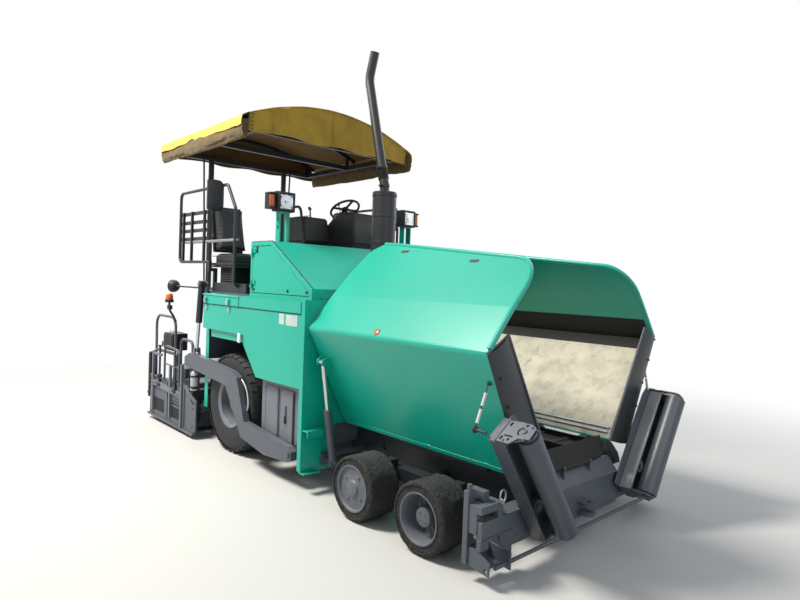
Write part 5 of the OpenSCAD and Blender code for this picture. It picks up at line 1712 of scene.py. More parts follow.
@dataclass(frozen=True)
class HopperWing(Sided):
    """What lines and trims a wing: rolled edges, closing plate, liner bars, chain and reflector."""

    rear: float = 1.612
    front: float = 3.660
    keel: tuple[float, float] = (0.770, 0.616)
    knuckle: tuple[float, float] = (1.220, 1.520)
    flap_slope: tuple[float, float] = (-0.6462, 0.7632)
    crease: float = 0.395
    flap_top: tuple[float, float] = (0.467, 2.349)
    top_rear: tuple[float, float] = (1.802, 2.329)
    top_front: tuple[float, float] = (3.660, 2.161)
    corner: float = 0.230
    skin: float = 0.012
    plate_inner: tuple[tuple[float, float], tuple[float, float]] = ((1.000, 1.640), (0.452, 0.690))

    def build(self) -> None:
        """Dress the wing."""
        self._liner()
        self._edges()
        self._closing()
        self._chain()
        self._skirt()

    def _along(self, t: float, lift: float = 0.0) -> tuple[float, float]:
        """A place on the wing's sloping floor.

        Args:
            t: 0 at the keel, 1 at the knuckle.
            lift: metres above the outer skin, inwards.

        Returns:
            Y and Z in metres.
        """
        (y0, z0), (y1, z1) = self.keel, self.knuckle
        span = math.hypot(y1 - y0, z1 - z0)
        out = (-(z1 - z0) / span, (y1 - y0) / span)
        return (y0 + (y1 - y0) * t + out[0] * lift, z0 + (z1 - z0) * t + out[1] * lift)

    def _flap(self, z: float, lift: float = 0.0) -> tuple[float, float]:
        """A place on the flap above the knuckle.

        Args:
            z: its height.
            lift: metres from the outer skin, inwards.

        Returns:
            Y and Z in metres.
        """
        dy, dz = self.flap_slope
        y, bend = self.knuckle[0], self.knuckle[1] + self.crease * dz
        y += (min(z, bend) - self.knuckle[1]) * dy / dz
        if z > bend:
            dy, dz = Vector((self.flap_top[0] - y, self.flap_top[1] - bend)).normalized()
            y += (z - bend) * dy / dz
        return (y - dz * lift, z + dy * lift)

    def _liner(self) -> None:
        """Lay the bars over the liner's upper and lower edges; the upper ones near-black with bitumen and
        painted shade under the flap.
        """
        body = "wing"
        long = self.front - self.rear - 0.04
        # Near-black bars at the knuckle: bitumen, and painted shade under the flap.
        bar = Shape()
        ends = [self._along(t, lift) for t,
                lift in ((0.83, 0.0135), (0.995, 0.0135), (0.985, 0.036), (0.83, 0.036))]
        bar.plate([(self.rear + 0.02, *end) for end in ends], (long, 0, 0))
        ends = [self._flap(z, lift)
                for z, lift in ((1.524, 0.0120), (1.715, 0.0120), (1.715, 0.0150), (1.524, 0.0150))]
        bar.plate([(self.rear + 0.03, *end) for end in ends], (long - 0.02, 0, 0))
        self.put(bar, "liner_bar_painted_shade", body, LINER_BITUMEN_AND_SHADE, bevel=0.004)
        strips = Shape()
        (y0, z0), (y1, z1) = (0.470, 0.750), (1.150, 1.465)
        span = math.hypot(y1 - y0, z1 - z0)
        out = (-(z1 - z0) / span, (y1 - y0) / span)
        for t in (0.000, 0.045):
            low = (y0 + (y1 - y0) * t, z0 + (z1 - z0) * t)
            high = (low[0] + (y1 - y0) * 0.022, low[1] + (z1 - z0) * 0.022)
            strips.plate([(self.rear + 0.04, *low), (self.rear + 0.04, *high),
                          (self.rear + 0.04, high[0] + out[0] * 0.012, high[1] + out[1] * 0.012),
                          (self.rear + 0.04, low[0] + out[0] * 0.012, low[1] + out[1] * 0.012)],
                         (long - 0.03, 0, 0))
        self.put(strips, "liner_foot_bars", body, BRIGHT_STEEL, bevel=0.002)

    def _edges(self) -> None:
        """Roll the flap's free edge over a bar, weld a flange along the keel and cover the lifting slots
        with black plates, painted shade for their openings.
        """
        body = "wing"
        middle = self.skin / 2
        (x0, z0), (x1, z1) = self.top_rear, self.top_front
        slope = (z1 - z0) / (x1 - x0)
        turn = math.radians(90) + math.atan(slope)
        reach = self.corner * math.tan(turn / 2)
        hub = (x1 - self.corner, z1 - reach)
        rim = [(x0 - 0.012, z0 - 0.004)]
        rim += [(x0 + (x1 - reach - x0) * k / 8, z0 + slope * (x1 - reach - x0) * k / 8)
                for k in range(1, 8)]
        rim += [(hub[0] + self.corner * math.cos(turn * (1 - k / 8)),
                 hub[1] + self.corner * math.sin(turn * (1 - k / 8))) for k in range(9)]
        rim += [(x1, hub[1] + (self.knuckle[1] + 0.03 - hub[1]) * k / 5) for k in range(1, 6)]
        bead = Shape().pipe([(x, *self._flap(z, middle)) for x, z in rim], 0.019, 14)
        self.put(bead, "flap_bead", body, GREEN_ENAMEL)
        lip = [(1.690, 2.2702), (1.772, 2.3140), (1.786, 2.3205), (1.802, 2.3240), (1.830, 2.3225),
               (3.4508, 2.1799)]
        top = Shape().plate([(x, *self._flap(z)) for x, z in lip],
                            tuple(Vector((0, *self._flap(2.2, self.skin))) - Vector((0, *self._flap(2.2)))))
        self.put(top, "flap_top", body, GREEN_ENAMEL)
        flange = Shape()
        y, z = self.keel
        flange.plate([(self.rear + 0.02, y - 0.010, z - 0.002), (self.rear + 0.02, y + 0.004, z - 0.006),
                      (self.rear + 0.02, y + 0.020, z + 0.028), (self.rear + 0.02, y + 0.014, z + 0.030)],
                     (self.front - self.rear - 0.06, 0, 0))
        for x in (2.05, 2.72, 3.32):
            flange.pipe([(x, y + 0.017, z + 0.030), (x + 0.06, y + 0.017, z + 0.030)], 0.006, 8)
        self.put(flange, "keel_flange", body, GREEN_ENAMEL, bevel=0.002)
        # Black plates on the lifting slots stand for their openings: painted shade.
        slots = Shape()
        for x, height in ((2.154, 2.241), (3.045, 2.150)):
            spots = []
            for k in range(16):
                a = math.tau * k / 16
                dx = 0.034 * (1 if math.cos(a) > 0 else -1) + 0.015 * math.cos(a)
                spots.append((x + dx, *self._flap(height + 0.012 * math.sin(a), -0.0015)))
            slots.plate(spots, (0, *[c * 0.003 for c in (-self.flap_slope[1], self.flap_slope[0])]))
        self.put(slots, "flap_slot_shade", body, BLACK_PLASTIC)
        out = (0, self.flap_slope[1], -self.flap_slope[0])
        spot = Shape().lathe((2.524, *self._flap(1.560, 0.0)), out,
                             [(0.030, -0.001), (0.030, 0.005), (0.024, 0.009), (0, 0.010)], 28)
        self.put(spot, "wing_reflector", body, AMBER_LENS)

    def _closing(self) -> None:
        """Close the wing's front end with its bulged plate, the plate's rolled lip and screws."""
        body = "wing"
        outer = [self._along(t, 0.002) for t in (0.990, 0.66, 0.33, 0.010)] + [(0.62, 0.652), (0.460, 0.694)]
        (ty, tz), (by, bz) = self.plate_inner
        rows = []
        for i, (oy, oz) in enumerate(outer):
            share = i / (len(outer) - 1)
            iy, iz = ty + (by - ty) * share, tz + (bz - tz) * share
            row = []
            for k in range(11):
                u = k / 10
                bulge = 0.030 * math.sin(math.pi * u) ** 0.8 * max(0.0, 1 - share / 0.6)
                row.append((self.front + 0.001 + bulge, oy + (iy - oy) * u, oz + (iz - oz) * u))
            rows.append(row)
        self.put(Shape().surface(rows), "wing_end_plate", body, DARK_ENAMEL, smooth=60)
        lip = Shape().pipe([(self.front + 0.004, *self._along(1.0, -0.002)),
                            (self.front + 0.012, 1.105, 1.580), (self.front + 0.004, ty, tz),
                            (self.front + 0.004, (ty + by) / 2, (tz + bz) / 2),
                            (self.front + 0.004, by, bz)], 0.009, 10)
        self.put(lip, "wing_end_lip", body, GREY_ENAMEL)
        back = Shape().plate([(self.front - 0.005, *p)
                              for p in ((ty, tz), (by, bz), (0.470, 0.735), (1.14, 1.475), (1.195, 1.512))],
                             (0.004, 0, 0))
        self.put(back, "wing_end_flange", body, DARK_ENAMEL)
        bolts = Shape()
        for t in (0.12, 0.34, 0.56, 0.78):
            bolts.bolt((self.front + 0.020, *self._along(t, 0.050)), AHEAD, 0.009)
        self.put(bolts, "wing_end_bolts", body, DARK_ENAMEL)

    def _chain(self) -> None:
        """Hang the roller's holding link: sleeves on a rod between two eyes."""
        body = "wing"
        top, low = Vector((3.615, 1.130, 1.306)), Vector((3.612, 1.246, 1.020))
        way = low - top
        rods, sleeves = Shape(), Shape()
        rods.lathe(top - Vector((0, 0.020, -0.010)), (0, 0.895, -0.446),
                   [(0, 0), (0.018, 0), (0.018, 0.012), (0.008, 0.016), (0.008, 0.030), (0, 0.030)], 16)
        rods.rod(tuple(top), tuple(low), 0.0045, 10)
        rods.lathe(low - Vector((0.014, 0, 0)), AHEAD,
                   [(0.008, 0), (0.022, 0.004), (0.026, 0.014), (0.022, 0.024), (0.008, 0.028)], 20)
        rods.rod(tuple(low + Vector((0.010, 0, 0))), (3.700, low[1] - 0.008, low[2] - 0.006), 0.010, 12)
        self.put(rods, "roller_link_rod", body, DARK_ENAMEL)
        for start, stop in ((0.22, 0.46), (0.58, 0.84)):
            sleeves.rod(tuple(top + way * start), tuple(top + way * stop), 0.010, 14)
            for t in (start, stop):
                sleeves.lathe(tuple(top + way * t), tuple(way),
                              [(0.010, -0.008), (0.0125, -0.006), (0.0125, 0.006), (0.010, 0.008)], 6)
        self.put(sleeves, "roller_link_sleeves", body, PALE_HOSE)

    def _skirt(self) -> None:
        """Close the gap between the wing's foot and the frame plate with a folded steel skirt."""
        skirt = Shape()
        for x0, x1 in ((self.rear + 0.02, 2.28), (2.29, 2.93), (2.94, 3.545)):
            skirt.plate([(x0, 0.430, 0.560), (x0, 0.434, 0.560), (x0, 0.434, 0.676), (x0, 0.404, 0.688),
                         (x0, 0.403, 0.684), (x0, 0.430, 0.674)], (x1 - x0, 0, 0))
            for x in (x0 + 0.08, x1 - 0.12):
                skirt.plate([(x, 0.433, 0.572), (x, 0.500, 0.572), (x, 0.500, 0.560), (x, 0.433, 0.560)],
                            (0.04, 0, 0))
        self.put(skirt, "hopper_skirt", "tractor", DARK_ENAMEL)


@dataclass(frozen=True)
class PushRoller(Sided):
    """Caps, head plates and side plates of a folded push roller and its arm."""

    pivot: tuple[float, float] = (0.760, 0.455)
    lean: float = 56.0
    tail: float = -0.245
    length: float = 0.860
    lift: float = 0.033
    x: float = 3.930
    tray: float = 3.710

    def place(self, u: float, v: float, x: float) -> tuple[float, float, float]:
        """Turn a place along and across the arm into the frame.

        Args:
            u: metres along the roller.
            v: metres across it.
            x: metres forward.

        Returns:
            The place.
        """
        a = math.radians(self.lean)
        return (x, self.pivot[0] + u * math.cos(a) - v * math.sin(a),
                self.pivot[1] + u * math.sin(a) + v * math.cos(a))

    def way(self, u: float, v: float) -> tuple[float, float, float]:
        """Turn a direction along and across the arm into the frame.

        Args:
            u: its part along the roller.
            v: its part across it.

        Returns:
            The direction.
        """
        return tuple(b - a for a, b in zip(self.place(0, 0, 0), self.place(u, v, 0)))

    def build(self) -> None:
        """Dress the roller and its arm."""
        self._roller()
        self._head()
        self._plates()

    def _roller(self) -> None:
        """Add the roller's end rings."""
        ends = Shape()
        for u, out in ((self.tail + 0.024, -1), (self.tail + 0.024 + self.length + 0.017, 1)):
            ends.lathe(self.place(u, self.lift, self.x), self.way(out, 0),
                       [(0.074, -0.001), (0.0778, -0.001), (0.0770, 0.001), (0.060, 0.002), (0.056, -0.002),
                        (0.022, -0.002)], 56)
        self.put(ends, "roller_rings", "push_roller", ROLLER_STEEL)

    def _head(self) -> None:
        """Bolt the ribbed pad and the slotted keeper plate on the arm's head."""
        body = "roller_arm"
        head = self.tail + self.length + 0.065
        up = self.way(1, 0)
        pad = Shape()
        pad.plate([self.place(head + 0.0005, v, x) for v,
                   x in ((-0.098, 3.704), (0.108, 3.704), (0.108, 3.762), (-0.098, 3.762))],
                  tuple(c * 0.016 for c in up))
        for k in range(22):
            v = -0.094 + 0.0093 * k
            pad.plate([self.place(head + 0.015, w, x) for w,
                       x in ((v, 3.705), (v + 0.0045, 3.705), (v + 0.0045, 3.761), (v, 3.761))],
                      tuple(c * 0.004 for c in up))
        self.put(pad, "arm_head_pad", body, PALE_GREY_ENAMEL, bevel=0.001)
        # A black plate under the keeper shows through its holes: painted shade.
        under = Shape()
        under.plate([self.place(head + 0.0005, v, x) for v,
                     x in ((-0.082, 3.770), (0.090, 3.770), (0.100, 3.850), (0.092, 3.962), (-0.026, 3.962),
                           (-0.082, 3.850))], tuple(c * 0.006 for c in up))
        self.put(under, "arm_head_shade_underlay", body, BLACK_PLASTIC)
        outline = [(-0.090, 3.766), (0.098, 3.766), (0.108, 3.850), (0.104, 3.930), (0.086, 3.966),
                   (0.040, 3.975), (-0.020, 3.975), (-0.034, 3.900), (-0.090, 3.860)]
        holes = [self._slot((v0, x0), (v1, x1), r) for (v0, x0), (v1, x1), r in (
            ((-0.066, 3.786), (-0.046, 3.786), 0.008), ((0.060, 3.790), (0.078, 3.790), 0.009),
            ((-0.062, 3.842), (-0.054, 3.842), 0.008), ((0.086, 3.900), (0.088, 3.906), 0.009),
            ((-0.030, 3.800), (-0.030, 3.852), 0.007))]
        arc = [(0.030 + 0.042 * math.cos(a), 3.905 - 0.042 * math.sin(a))
               for a in (math.radians(20 + 17.5 * k) for k in range(9))]
        inner = [(0.030 + 0.030 * math.cos(a), 3.905 - 0.030 * math.sin(a))
                 for a in (math.radians(160 - 17.5 * k) for k in range(9))]
        keeper = Shape().pierced([[self.place(head + 0.007, v, x) for v, x in loop]
                                  for loop in [outline, *holes, arc + inner]], tuple(c * 0.008 for c in up))
        self.put(keeper, "arm_head_keeper", body, PALE_GREY_ENAMEL)
        pins = Shape()
        pins.lathe(self.place(head + 0.014, self.lift, self.x - 0.020), up,
                   [(0.019, 0), (0.019, 0.008), (0.014, 0.011), (0, 0.011)], 24)
        for v, x in ((-0.030, 3.945), (0.078, 3.945), (-0.074, 3.812)):
            pins.bolt(self.place(head + 0.015, v, x), up, 0.008)
        for v in (-0.055, 0.075):
            pins.bolt(self.place(self.tail - 0.001, v, 3.74), self.way(-1, 0), 0.010)
        pins.lathe(self.place(self.tail - 0.001, self.lift, self.x), self.way(-1, 0),
                   [(0.030, 0), (0.030, 0.008), (0.022, 0.011), (0, 0.011)], 24)
        self.put(pins, "arm_head_bolts", body, GREY_ENAMEL)

    def _slot(self, start: tuple[float, float], stop: tuple[float, float],
              radius: float) -> list[tuple[float, float]]:
        """Draw a hole with round ends.

        Args:
            start: the middle of one end.
            stop: the middle of the other end.
            radius: half its width.

        Returns:
            The corners across and forward.
        """
        turn = math.atan2(stop[1] - start[1], stop[0] - start[0])
        spots = []
        for centre, first in ((stop, turn - math.pi / 2), (start, turn + math.pi / 2)):
            spots += [(centre[0] + radius * math.cos(first + math.pi * k / 6),
                       centre[1] + radius * math.sin(first + math.pi * k / 6)) for k in range(7)]
        return spots

    def _plates(self) -> None:
        """Add the arm's wide back plate and the scuffed strip on its upper side plate."""
        body = "roller_arm"
        wing = Shape().plate([self.place(u, v, self.tray) for u, v in (
            (self.tail, 0.099), (self.tail, 0.180), (0.20, 0.196), (0.21, 0.206), (0.58, 0.206),
            (0.665, 0.180), (0.665, 0.099))], (0.010, 0, 0))
        self.put(wing, "arm_back_plate", body, GREY_ENAMEL, bevel=0.002)
        strip = Shape().plate([self.place(u, 0.1002, x) for u, x in (
            (self.tail + 0.004, self.tray + 0.012), (self.tail + 0.004, self.tray + 0.116),
            (0.672, self.tray + 0.116), (0.672, self.tray + 0.012))], self.way(0, 0.003))
        self.put(strip, "arm_side_strip", body, BRIGHT_STEEL, bevel=0.001)


@dataclass(frozen=True)
class FrontBeam(Sided):
    """Bolts, weld beads and small fittings on the push beam and its corner deflectors."""

    face: float = 3.690

    def build(self) -> None:
        """Dress this half of the beam."""
        bolts = Shape()
        for y, z in ((0.60, 0.25), (0.60, 0.37), (0.86, 0.25), (0.86, 0.37)):
            bolts.bolt((self.face, y, z), AHEAD, 0.010)
        self.put(bolts, "beam_bolts", "tractor", GREY_ENAMEL)
        beads = Shape()
        for path in (
            ((self.face + 0.002, 0.90, 0.301), (self.face + 0.002, 1.22, 0.301)),
            ((self.face + 0.001, 0.70, 0.421), (self.face + 0.001, 0.82, 0.421)),
            ((self.face + 0.001, 0.02, 0.430), (self.face + 0.001, 0.56, 0.430)),
            ((self.face + 0.001, 0.561, 0.25), (self.face + 0.001, 0.561, 0.41)),
        ):
            beads.pipe(path, 0.005, 8)
        self.put(beads, "beam_welds", "tractor", GREY_ENAMEL)
        self._lashing()
        if self.side is Side.LEFT:
            self._lever()

    def _lashing(self) -> None:
        """Hang the loose ring and its hook on the beam's upper corner."""
        ring = Shape()
        spot = Vector((self.face + 0.012, 1.035, 0.560))
        loop = [spot + Vector((0.004 * math.cos(a), 0.036 * math.cos(a), 0.044 * math.sin(a)))
                for a in (math.tau * k / 24 for k in range(24))]
        ring.pipe(loop, 0.006, 10, closed=True)
        ring.pipe(curve_through([spot + Vector((-0.020, 0.0, -0.05)), spot + Vector((0.002, 0.0, -0.050)),
                                 spot + Vector((0.008, 0.0, -0.030)), spot + Vector((-0.020, 0.0, -0.020))],
                                6), 0.005, 8)
        self.put(ring, "lashing_ring", "tractor", BRIGHT_STEEL)

    def _lever(self) -> None:
        """Stand the deflector's locking lever on the far front corner."""
        lever = Shape()
        lever.pipe(curve_through([(3.730, 1.190, 0.300), (3.735, 1.195, 0.360), (3.745, 1.215, 0.400),
                                  (3.748, 1.222, 0.450)], 6), 0.009, 12)
        lever.lathe((3.730, 1.190, 0.290), UP,
                    [(0, 0), (0.018, 0), (0.018, 0.012), (0.009, 0.020), (0, 0.020)], 20)
        lever.block((3.689, 1.165, 0.268), (3.760, 1.215, 0.292))
        lever.piece("corner_lever", "tractor", DARK_ENAMEL, bevel=0.001)


@dataclass(frozen=True)
class OperatorStand:
    """Deck plates, console covers, instruments, switches, levers and the steering hub."""

    deck: float = 1.775

    def build(self) -> None:
        """Dress the stand."""
        self._deck()
        self._console()

    def _deck(self) -> None:
        """Lay the tread plate with its raised lozenges."""
        shape = Shape()
        sheets = ((-1.93, -0.72, -0.64, 0.64), (-0.69, 0.30, -0.66, 0.66))
        for x0, x1, y0, y1 in sheets:
            shape.block((x0, y0, self.deck - 0.002), (x1, y1, self.deck + 0.003))
        pitch = 0.06
        for x0, x1, y0, y1 in sheets:
            for i in range(int((x1 - x0) / pitch)):
                for j in range(int((y1 - y0) / pitch)):
                    x, y = x0 + (i + 0.5) * pitch, y0 + (j + 0.5) * pitch
                    if x > -0.62 and y > -0.25 and y < 0.70 or x > -0.62 and y < -0.6:
                        continue
                    s = 1 if (i + j) % 2 else -1
                    a, b = 0.016, 0.004
                    pts = [(x - a, y - s * a, self.deck + 0.003), (x + b, y - s * b, self.deck + 0.003),
                           (x + a, y + s * a, self.deck + 0.003), (x - b, y + s * b, self.deck + 0.003)]
                    shape.plate(pts, (0, 0, 0.0025))
        shape.piece("deck_tread_plate", "tractor", TREAD_PLATE)

    def _console(self) -> None:
        """Make the console's covers, dials, switches and levers."""
        cover = Shape()
        profile = [(-0.61, 2.425), (-0.584, 2.728), (-0.552, 2.744), (-0.150, 2.736), (-0.116, 2.716),
                   (-0.028, 2.425)]
        cover.plate([(x, -0.178, z) for x, z in profile], (0, 0.356, 0))
        cover.piece("console_hood", "tractor", BLACK_PLASTIC, bevel=0.022)
        desk = Shape()
        profile = [(-0.306, 2.405), (-0.258, 2.642), (-0.016, 2.796), (0.326, 2.800), (0.338, 2.78),
                   (0.366, 2.405)]
        desk.plate([(x, 0.233, z) for x, z in profile], (0, 0.454, 0))
        desk.piece("dashboard_hood", "tractor", BLACK_PLASTIC, bevel=0.026)
        dials, knobs = Shape(), Shape()
        slope = Vector((0.242, 0, 0.154)).normalized()
        up = Vector((-slope.z, 0, slope.x))
        for u, y, r in ((0.09, 0.32, 0.034), (0.09, 0.60, 0.034), (0.19, 0.30, 0.026), (0.19, 0.62, 0.026)):
            spot = Vector((-0.258, y, 2.642)) + slope * u + up * 0.004
            dials.lathe(spot, up, [(r + 0.006, -0.002), (r + 0.006, 0.006), (r, 0.006), (r, 0.003),
                                   (0, 0.003)], 28)
        dials.piece("dashboard_dials", "tractor", ZINC_STEEL)
        for u, y in ((0.05, 0.42), (0.05, 0.47), (0.05, 0.52), (0.24, 0.40), (0.24, 0.46), (0.24, 0.52)):
            spot = Vector((-0.258, y, 2.642)) + slope * u + up * 0.003
            knobs.lathe(spot, up, [(0.012, 0), (0.011, 0.014), (0.007, 0.018), (0, 0.018)], 18)
        for k in range(7):
            knobs.lathe((-0.42 + 0.05 * k, -0.10, 2.740), UP, [(0.012, 0), (0.010, 0.012), (0, 0.013)], 16)
        knobs.piece("console_switches", "tractor", AMBER_LENS)
        levers = Shape()
        for x, y, z, dx in ((-0.30, 0.04, 2.735, -0.03), (-0.38, 0.10, 2.735, -0.02),
                            (0.02, 0.28, 2.79, -0.05)):
            levers.rod((x, y, z), (x + dx, y, z + 0.13), 0.007, 12, 0.005)
            levers.lathe((x + dx, y, z + 0.115), (dx, 0, 0.13),
                         [(0.0, 0.0), (0.014, 0.006), (0.019, 0.020), (0.016, 0.034), (0.0, 0.042)], 18)
        levers.piece("console_levers", "tractor", BLACK_PLASTIC)
        hub = Shape()
        wheel = Matrix.Rotation(math.radians(-32), 3, "Y")
        axis = wheel @ Vector(UP)
        hub.lathe((-0.135, 0.460, 2.888), axis,
                  [(0.0, 0.026), (0.030, 0.024), (0.046, 0.012), (0.050, -0.006), (0.040, -0.020),
                   (0.0, -0.022)], 32)
        hub.piece("steering_hub", "tractor", BLACK_PLASTIC)


@dataclass(frozen=True)
class SeatStation(Sided):
    """Mirror, bellows and guard fittings that slide out with a seat."""

    def build(self) -> None:
        """Dress the station."""
        self._mirror()
        self._seat_desk()

    def _mirror(self) -> None:
        """Make the mirror's rounded shell and its glass."""
        body = "seat_station"
        corners = []
        y0, y1, z0, z1, r = 1.212, 1.399, 2.676, 3.020, 0.070
        for cy, cz, a0 in ((y1 - r, z1 - r, 0), (y0 + r, z1 - r, 90), (y0 + r, z0 + r, 180),
                           (y1 - r, z0 + r, 270)):
            for k in range(7):
                a = math.radians(a0 + 15 * k)
                corners.append((cy + r * math.cos(a), cz + r * math.sin(a)))
        shell = Shape()
        mid = ((y0 + y1) / 2, (z0 + z1) / 2)
        rows = []
        for x, scale in ((-0.190, 0.93), (-0.192, 0.985), (-0.186, 1.0), (-0.160, 1.0), (-0.150, 0.93),
                         (-0.143, 0.70), (-0.141, 0.35)):
            rows.append([(x, mid[0] + (y - mid[0]) * scale, mid[1] + (z - mid[1]) * scale) for y,
                         z in corners])
        shell.surface(rows, wrap=True)
        shell.grow(rows[-1], [tuple(range(len(corners)))])
        self.put(shell, "mirror_shell", body, BLACK_PLASTIC)
        glass = Shape()
        glass.grow([(-0.1895, mid[0] + (y - mid[0]) * 0.94, mid[1] + (z - mid[1]) * 0.94) for y,
                    z in corners], [tuple(range(len(corners)))])
        self.put(glass, "mirror_glass", body, MIRROR_GLASS)

    def _seat_desk(self) -> None:
        """Make the folded bellows under the seat, the slat bolts and the board's trim."""
        body = "seat_station"
        bellows = Shape()
        cx, cy = -0.310, 0.930
        rows = []
        for k in range(15):
            z = 1.884 + 0.172 * k / 14
            half = 0.152 if k % 2 else 0.166
            ring = []
            for a in range(24):
                t = math.tau * (a + 0.5) / 24
                c, s = math.cos(t), math.sin(t)
                reach = half / max(abs(c), abs(s)) if max(abs(c), abs(s)) > 0.8 else half * 1.22
                ring.append((cx + c * reach, cy + s * reach, z))
            rows.append(ring)
        bellows.surface(rows, wrap=True)
        self.put(bellows, "seat_bellows", body, FLAP_RUBBER, smooth=20)
        bolts = Shape()
        for x in (-1.290, -1.040, -0.690):
            for z in (2.401, 2.501, 2.601, 2.711):
                bolts.lathe((x, 1.1655, z), (0, -1, 0), [(0.008, 0), (0.007, 0.003), (0, 0.004)], 14)
        self.put(bolts, "guard_rivets", body, ZINC_STEEL)
        board = Shape()
        board.block((-1.245, 1.149, 2.346), (0.112, 1.188, 2.375))
        self.put(board, "guard_board", body, BRIGHT_STEEL, bevel=0.006)
        knob = Shape()
        knob.lathe((-0.50, 1.170, 2.375), UP,
                   [(0.010, 0), (0.009, 0.02), (0.018, 0.028), (0.018, 0.044), (0.0, 0.05)], 20)
        self.put(knob, "guard_knob", body, BLACK_PLASTIC)


@dataclass(frozen=True)
class Screed(Sided):
    """Gates, posts, spindles, boxes, lamps and lids of the screed and its extensions."""

    half: float = 1.236

    @property
    def gate(self) -> float:
        """The outer face of the end gate in Y."""
        return self.half + 0.016

    def build(self) -> None:
        """Dress this half of the screed."""
        self._gate()
        self._posts()
        self._gear()
        self._extension()
        self._main()
        self._work_lamp()

    def _gate(self) -> None:
        """Bolt ribs, the plank and the skid's edge to the end gate."""
        body, y = "extension", self.gate
        ribs = Shape()
        for x in (-2.06, -1.52, -0.99):
            ribs.block((x - 0.016, y - 0.002, 0.10), (x + 0.016, y + 0.012, 0.585))
        ribs.block((-2.11, y - 0.002, 0.580), (-1.02, y + 0.012, 0.598))
        ribs.plate([(-1.015, y - 0.002, 0.598), (-0.655, y - 0.002, 0.455), (-0.660, y - 0.002, 0.440),
                    (-1.020, y - 0.002, 0.583)], (0, 0.012, 0))
        for x0, x1 in ((-2.035, -1.545), (-1.495, -1.015)):
            ribs.block((x0, y - 0.002, 0.335), (x1, y + 0.004, 0.350))
        self.put(ribs, "gate_ribs", body, SCREED_STEEL, bevel=0.003)
        skid = Shape()
        skid.plate([(-2.140, y - 0.006, 0.052), (-0.700, y - 0.006, 0.040), (-0.652, y - 0.006, 0.095),
                    (-0.668, y - 0.006, 0.108), (-0.708, y - 0.006, 0.062), (-2.140, y - 0.006, 0.076)],
                   (0, 0.034, 0))
        plank = Shape()
        plank.plate([(-1.960, y - 0.002, 0.470), (-1.080, y - 0.002, 0.428), (-1.080, y - 0.002, 0.500),
                     (-1.960, y - 0.002, 0.542)], (0, 0.028, 0))
        self.put(plank, "gate_plank", body, PALE_GREY_ENAMEL, bevel=0.004)
        self.put(skid, "gate_skid", body, SCREED_STEEL, bevel=0.003)
        # Black sheets on the gate stand for its open slots: painted shade.
        slot = Shape().plate([(-0.800, y - 0.001, 0.470), (-0.700, y - 0.001, 0.428),
                              (-0.700, y - 0.001, 0.400), (-0.800, y - 0.001, 0.442)], (0, 0.002, 0))
        for x0, x1, z0, z1 in ((-1.98, -1.62, 0.14, 0.31), (-1.44, -1.08, 0.14, 0.28)):
            slot.block((x0, y - 0.001, z0), (x1, y + 0.001, z1))
        self.put(slot, "gate_slot_shade", body, FLAP_RUBBER)
        bolts = Shape()
        for x, z in ((-2.06, 0.54), (-1.80, 0.566), (-1.26, 0.566), (-0.74, 0.36), (-0.74, 0.14),
                     (-1.00, 0.12), (-1.52, 0.12), (-2.06, 0.12), (-1.90, 0.506), (-1.14, 0.464)):
            bolts.bolt((x, y + (0.026 if z in (0.506, 0.464) else 0.0), z), ACROSS, 0.011)
        self.put(bolts, "gate_bolts", body, SCREED_STEEL)

    def _posts(self) -> None:
        """Stand the posts, hoops and lifting spindles on the end gate."""
        body, y = "extension", self.gate + 0.014
        posts = Shape()
        for x, z0, z1 in ((-1.985, 0.120, 0.930), (-1.405, 0.120, 0.790), (-1.045, 0.075, 0.850)):
            posts.block((x - 0.019, y - 0.016, z0), (x + 0.019, y + 0.016, z1))
        posts.block((-1.985, y - 0.012, 0.880), (-1.700, y + 0.012, 0.912))
        self.put(posts, "gate_posts", body, PALE_GREY_ENAMEL, bevel=0.004)
        hoops = Shape()
        x0, x1, low, high, r = -1.600, -1.130, 0.570, 1.030, 0.075
        path = [(x0, y, low), (x0, y, high - r), (x0 + 0.022, y, high - 0.022), (x0 + r, y, high),
                (x1 - r, y, high - 0.020), (x1 - 0.022, y, high - 0.042), (x1, y, high - 0.020 - r),
                (x1, y, low)]
        hoops.pipe(curve_through(path, 6), 0.014, 14)
        hoops.pipe([(-1.600, y, 0.800), (-1.130, y, 0.790)], 0.009, 10)
        self.put(hoops, "gate_hoop", body, GREY_ENAMEL)
        screws = Shape()
        for x, z0, z1 in ((-1.770, 0.610, 1.000), (-1.250, 0.600, 0.930)):
            screws.rod((x, y, z0 - 0.11), (x, y, z1), 0.013, 18)
            for k in range(int((z1 - z0) / 0.014)):
                screws.lathe((x, y, z0 + 0.014 * k), UP, [(0.013, -0.004), (0.0165, 0), (0.013, 0.004)], 18)
            screws.lathe((x, y, z1), UP, [(0.026, 0), (0.026, 0.018), (0.012, 0.024), (0, 0.024)], 6)
            screws.lathe((x, y, z0 - 0.02), UP, [(0.030, 0), (0.034, 0.006), (0.034, 0.040), (0.022, 0.046)],
                         24)
            screws.block((x - 0.045, y - 0.030, z0 - 0.130), (x + 0.045, y + 0.030, z0 - 0.090))
        screws.pipe(curve_through([(-1.770, y, 1.010), (-1.700, y, 1.020), (-1.690, y, 1.080)], 6), 0.009,
                    10)
        self.put(screws, "gate_spindles", body, DARK_ENAMEL)
        boot = Shape()
        ribs = [(0.0, 0.270), (0.026, 0.270)]
        for k in range(20):
            ribs += [(0.026, 0.275 + 0.030 * k), (0.034, 0.284 + 0.030 * k), (0.034, 0.296 + 0.030 * k),
                     (0.026, 0.303 + 0.030 * k)]
        ribs += [(0.026, 0.885), (0.0, 0.890)]
        boot.lathe((-2.190, y - 0.040, 0.0), UP, ribs, 24)
        boot.block((-2.160, y - 0.070, 0.320), (-2.080, y - 0.010, 0.350))
        boot.block((-2.160, y - 0.070, 0.545), (-2.080, y - 0.010, 0.575))
        self.put(boot, "tail_spindle", body, FLAP_RUBBER, smooth=25)

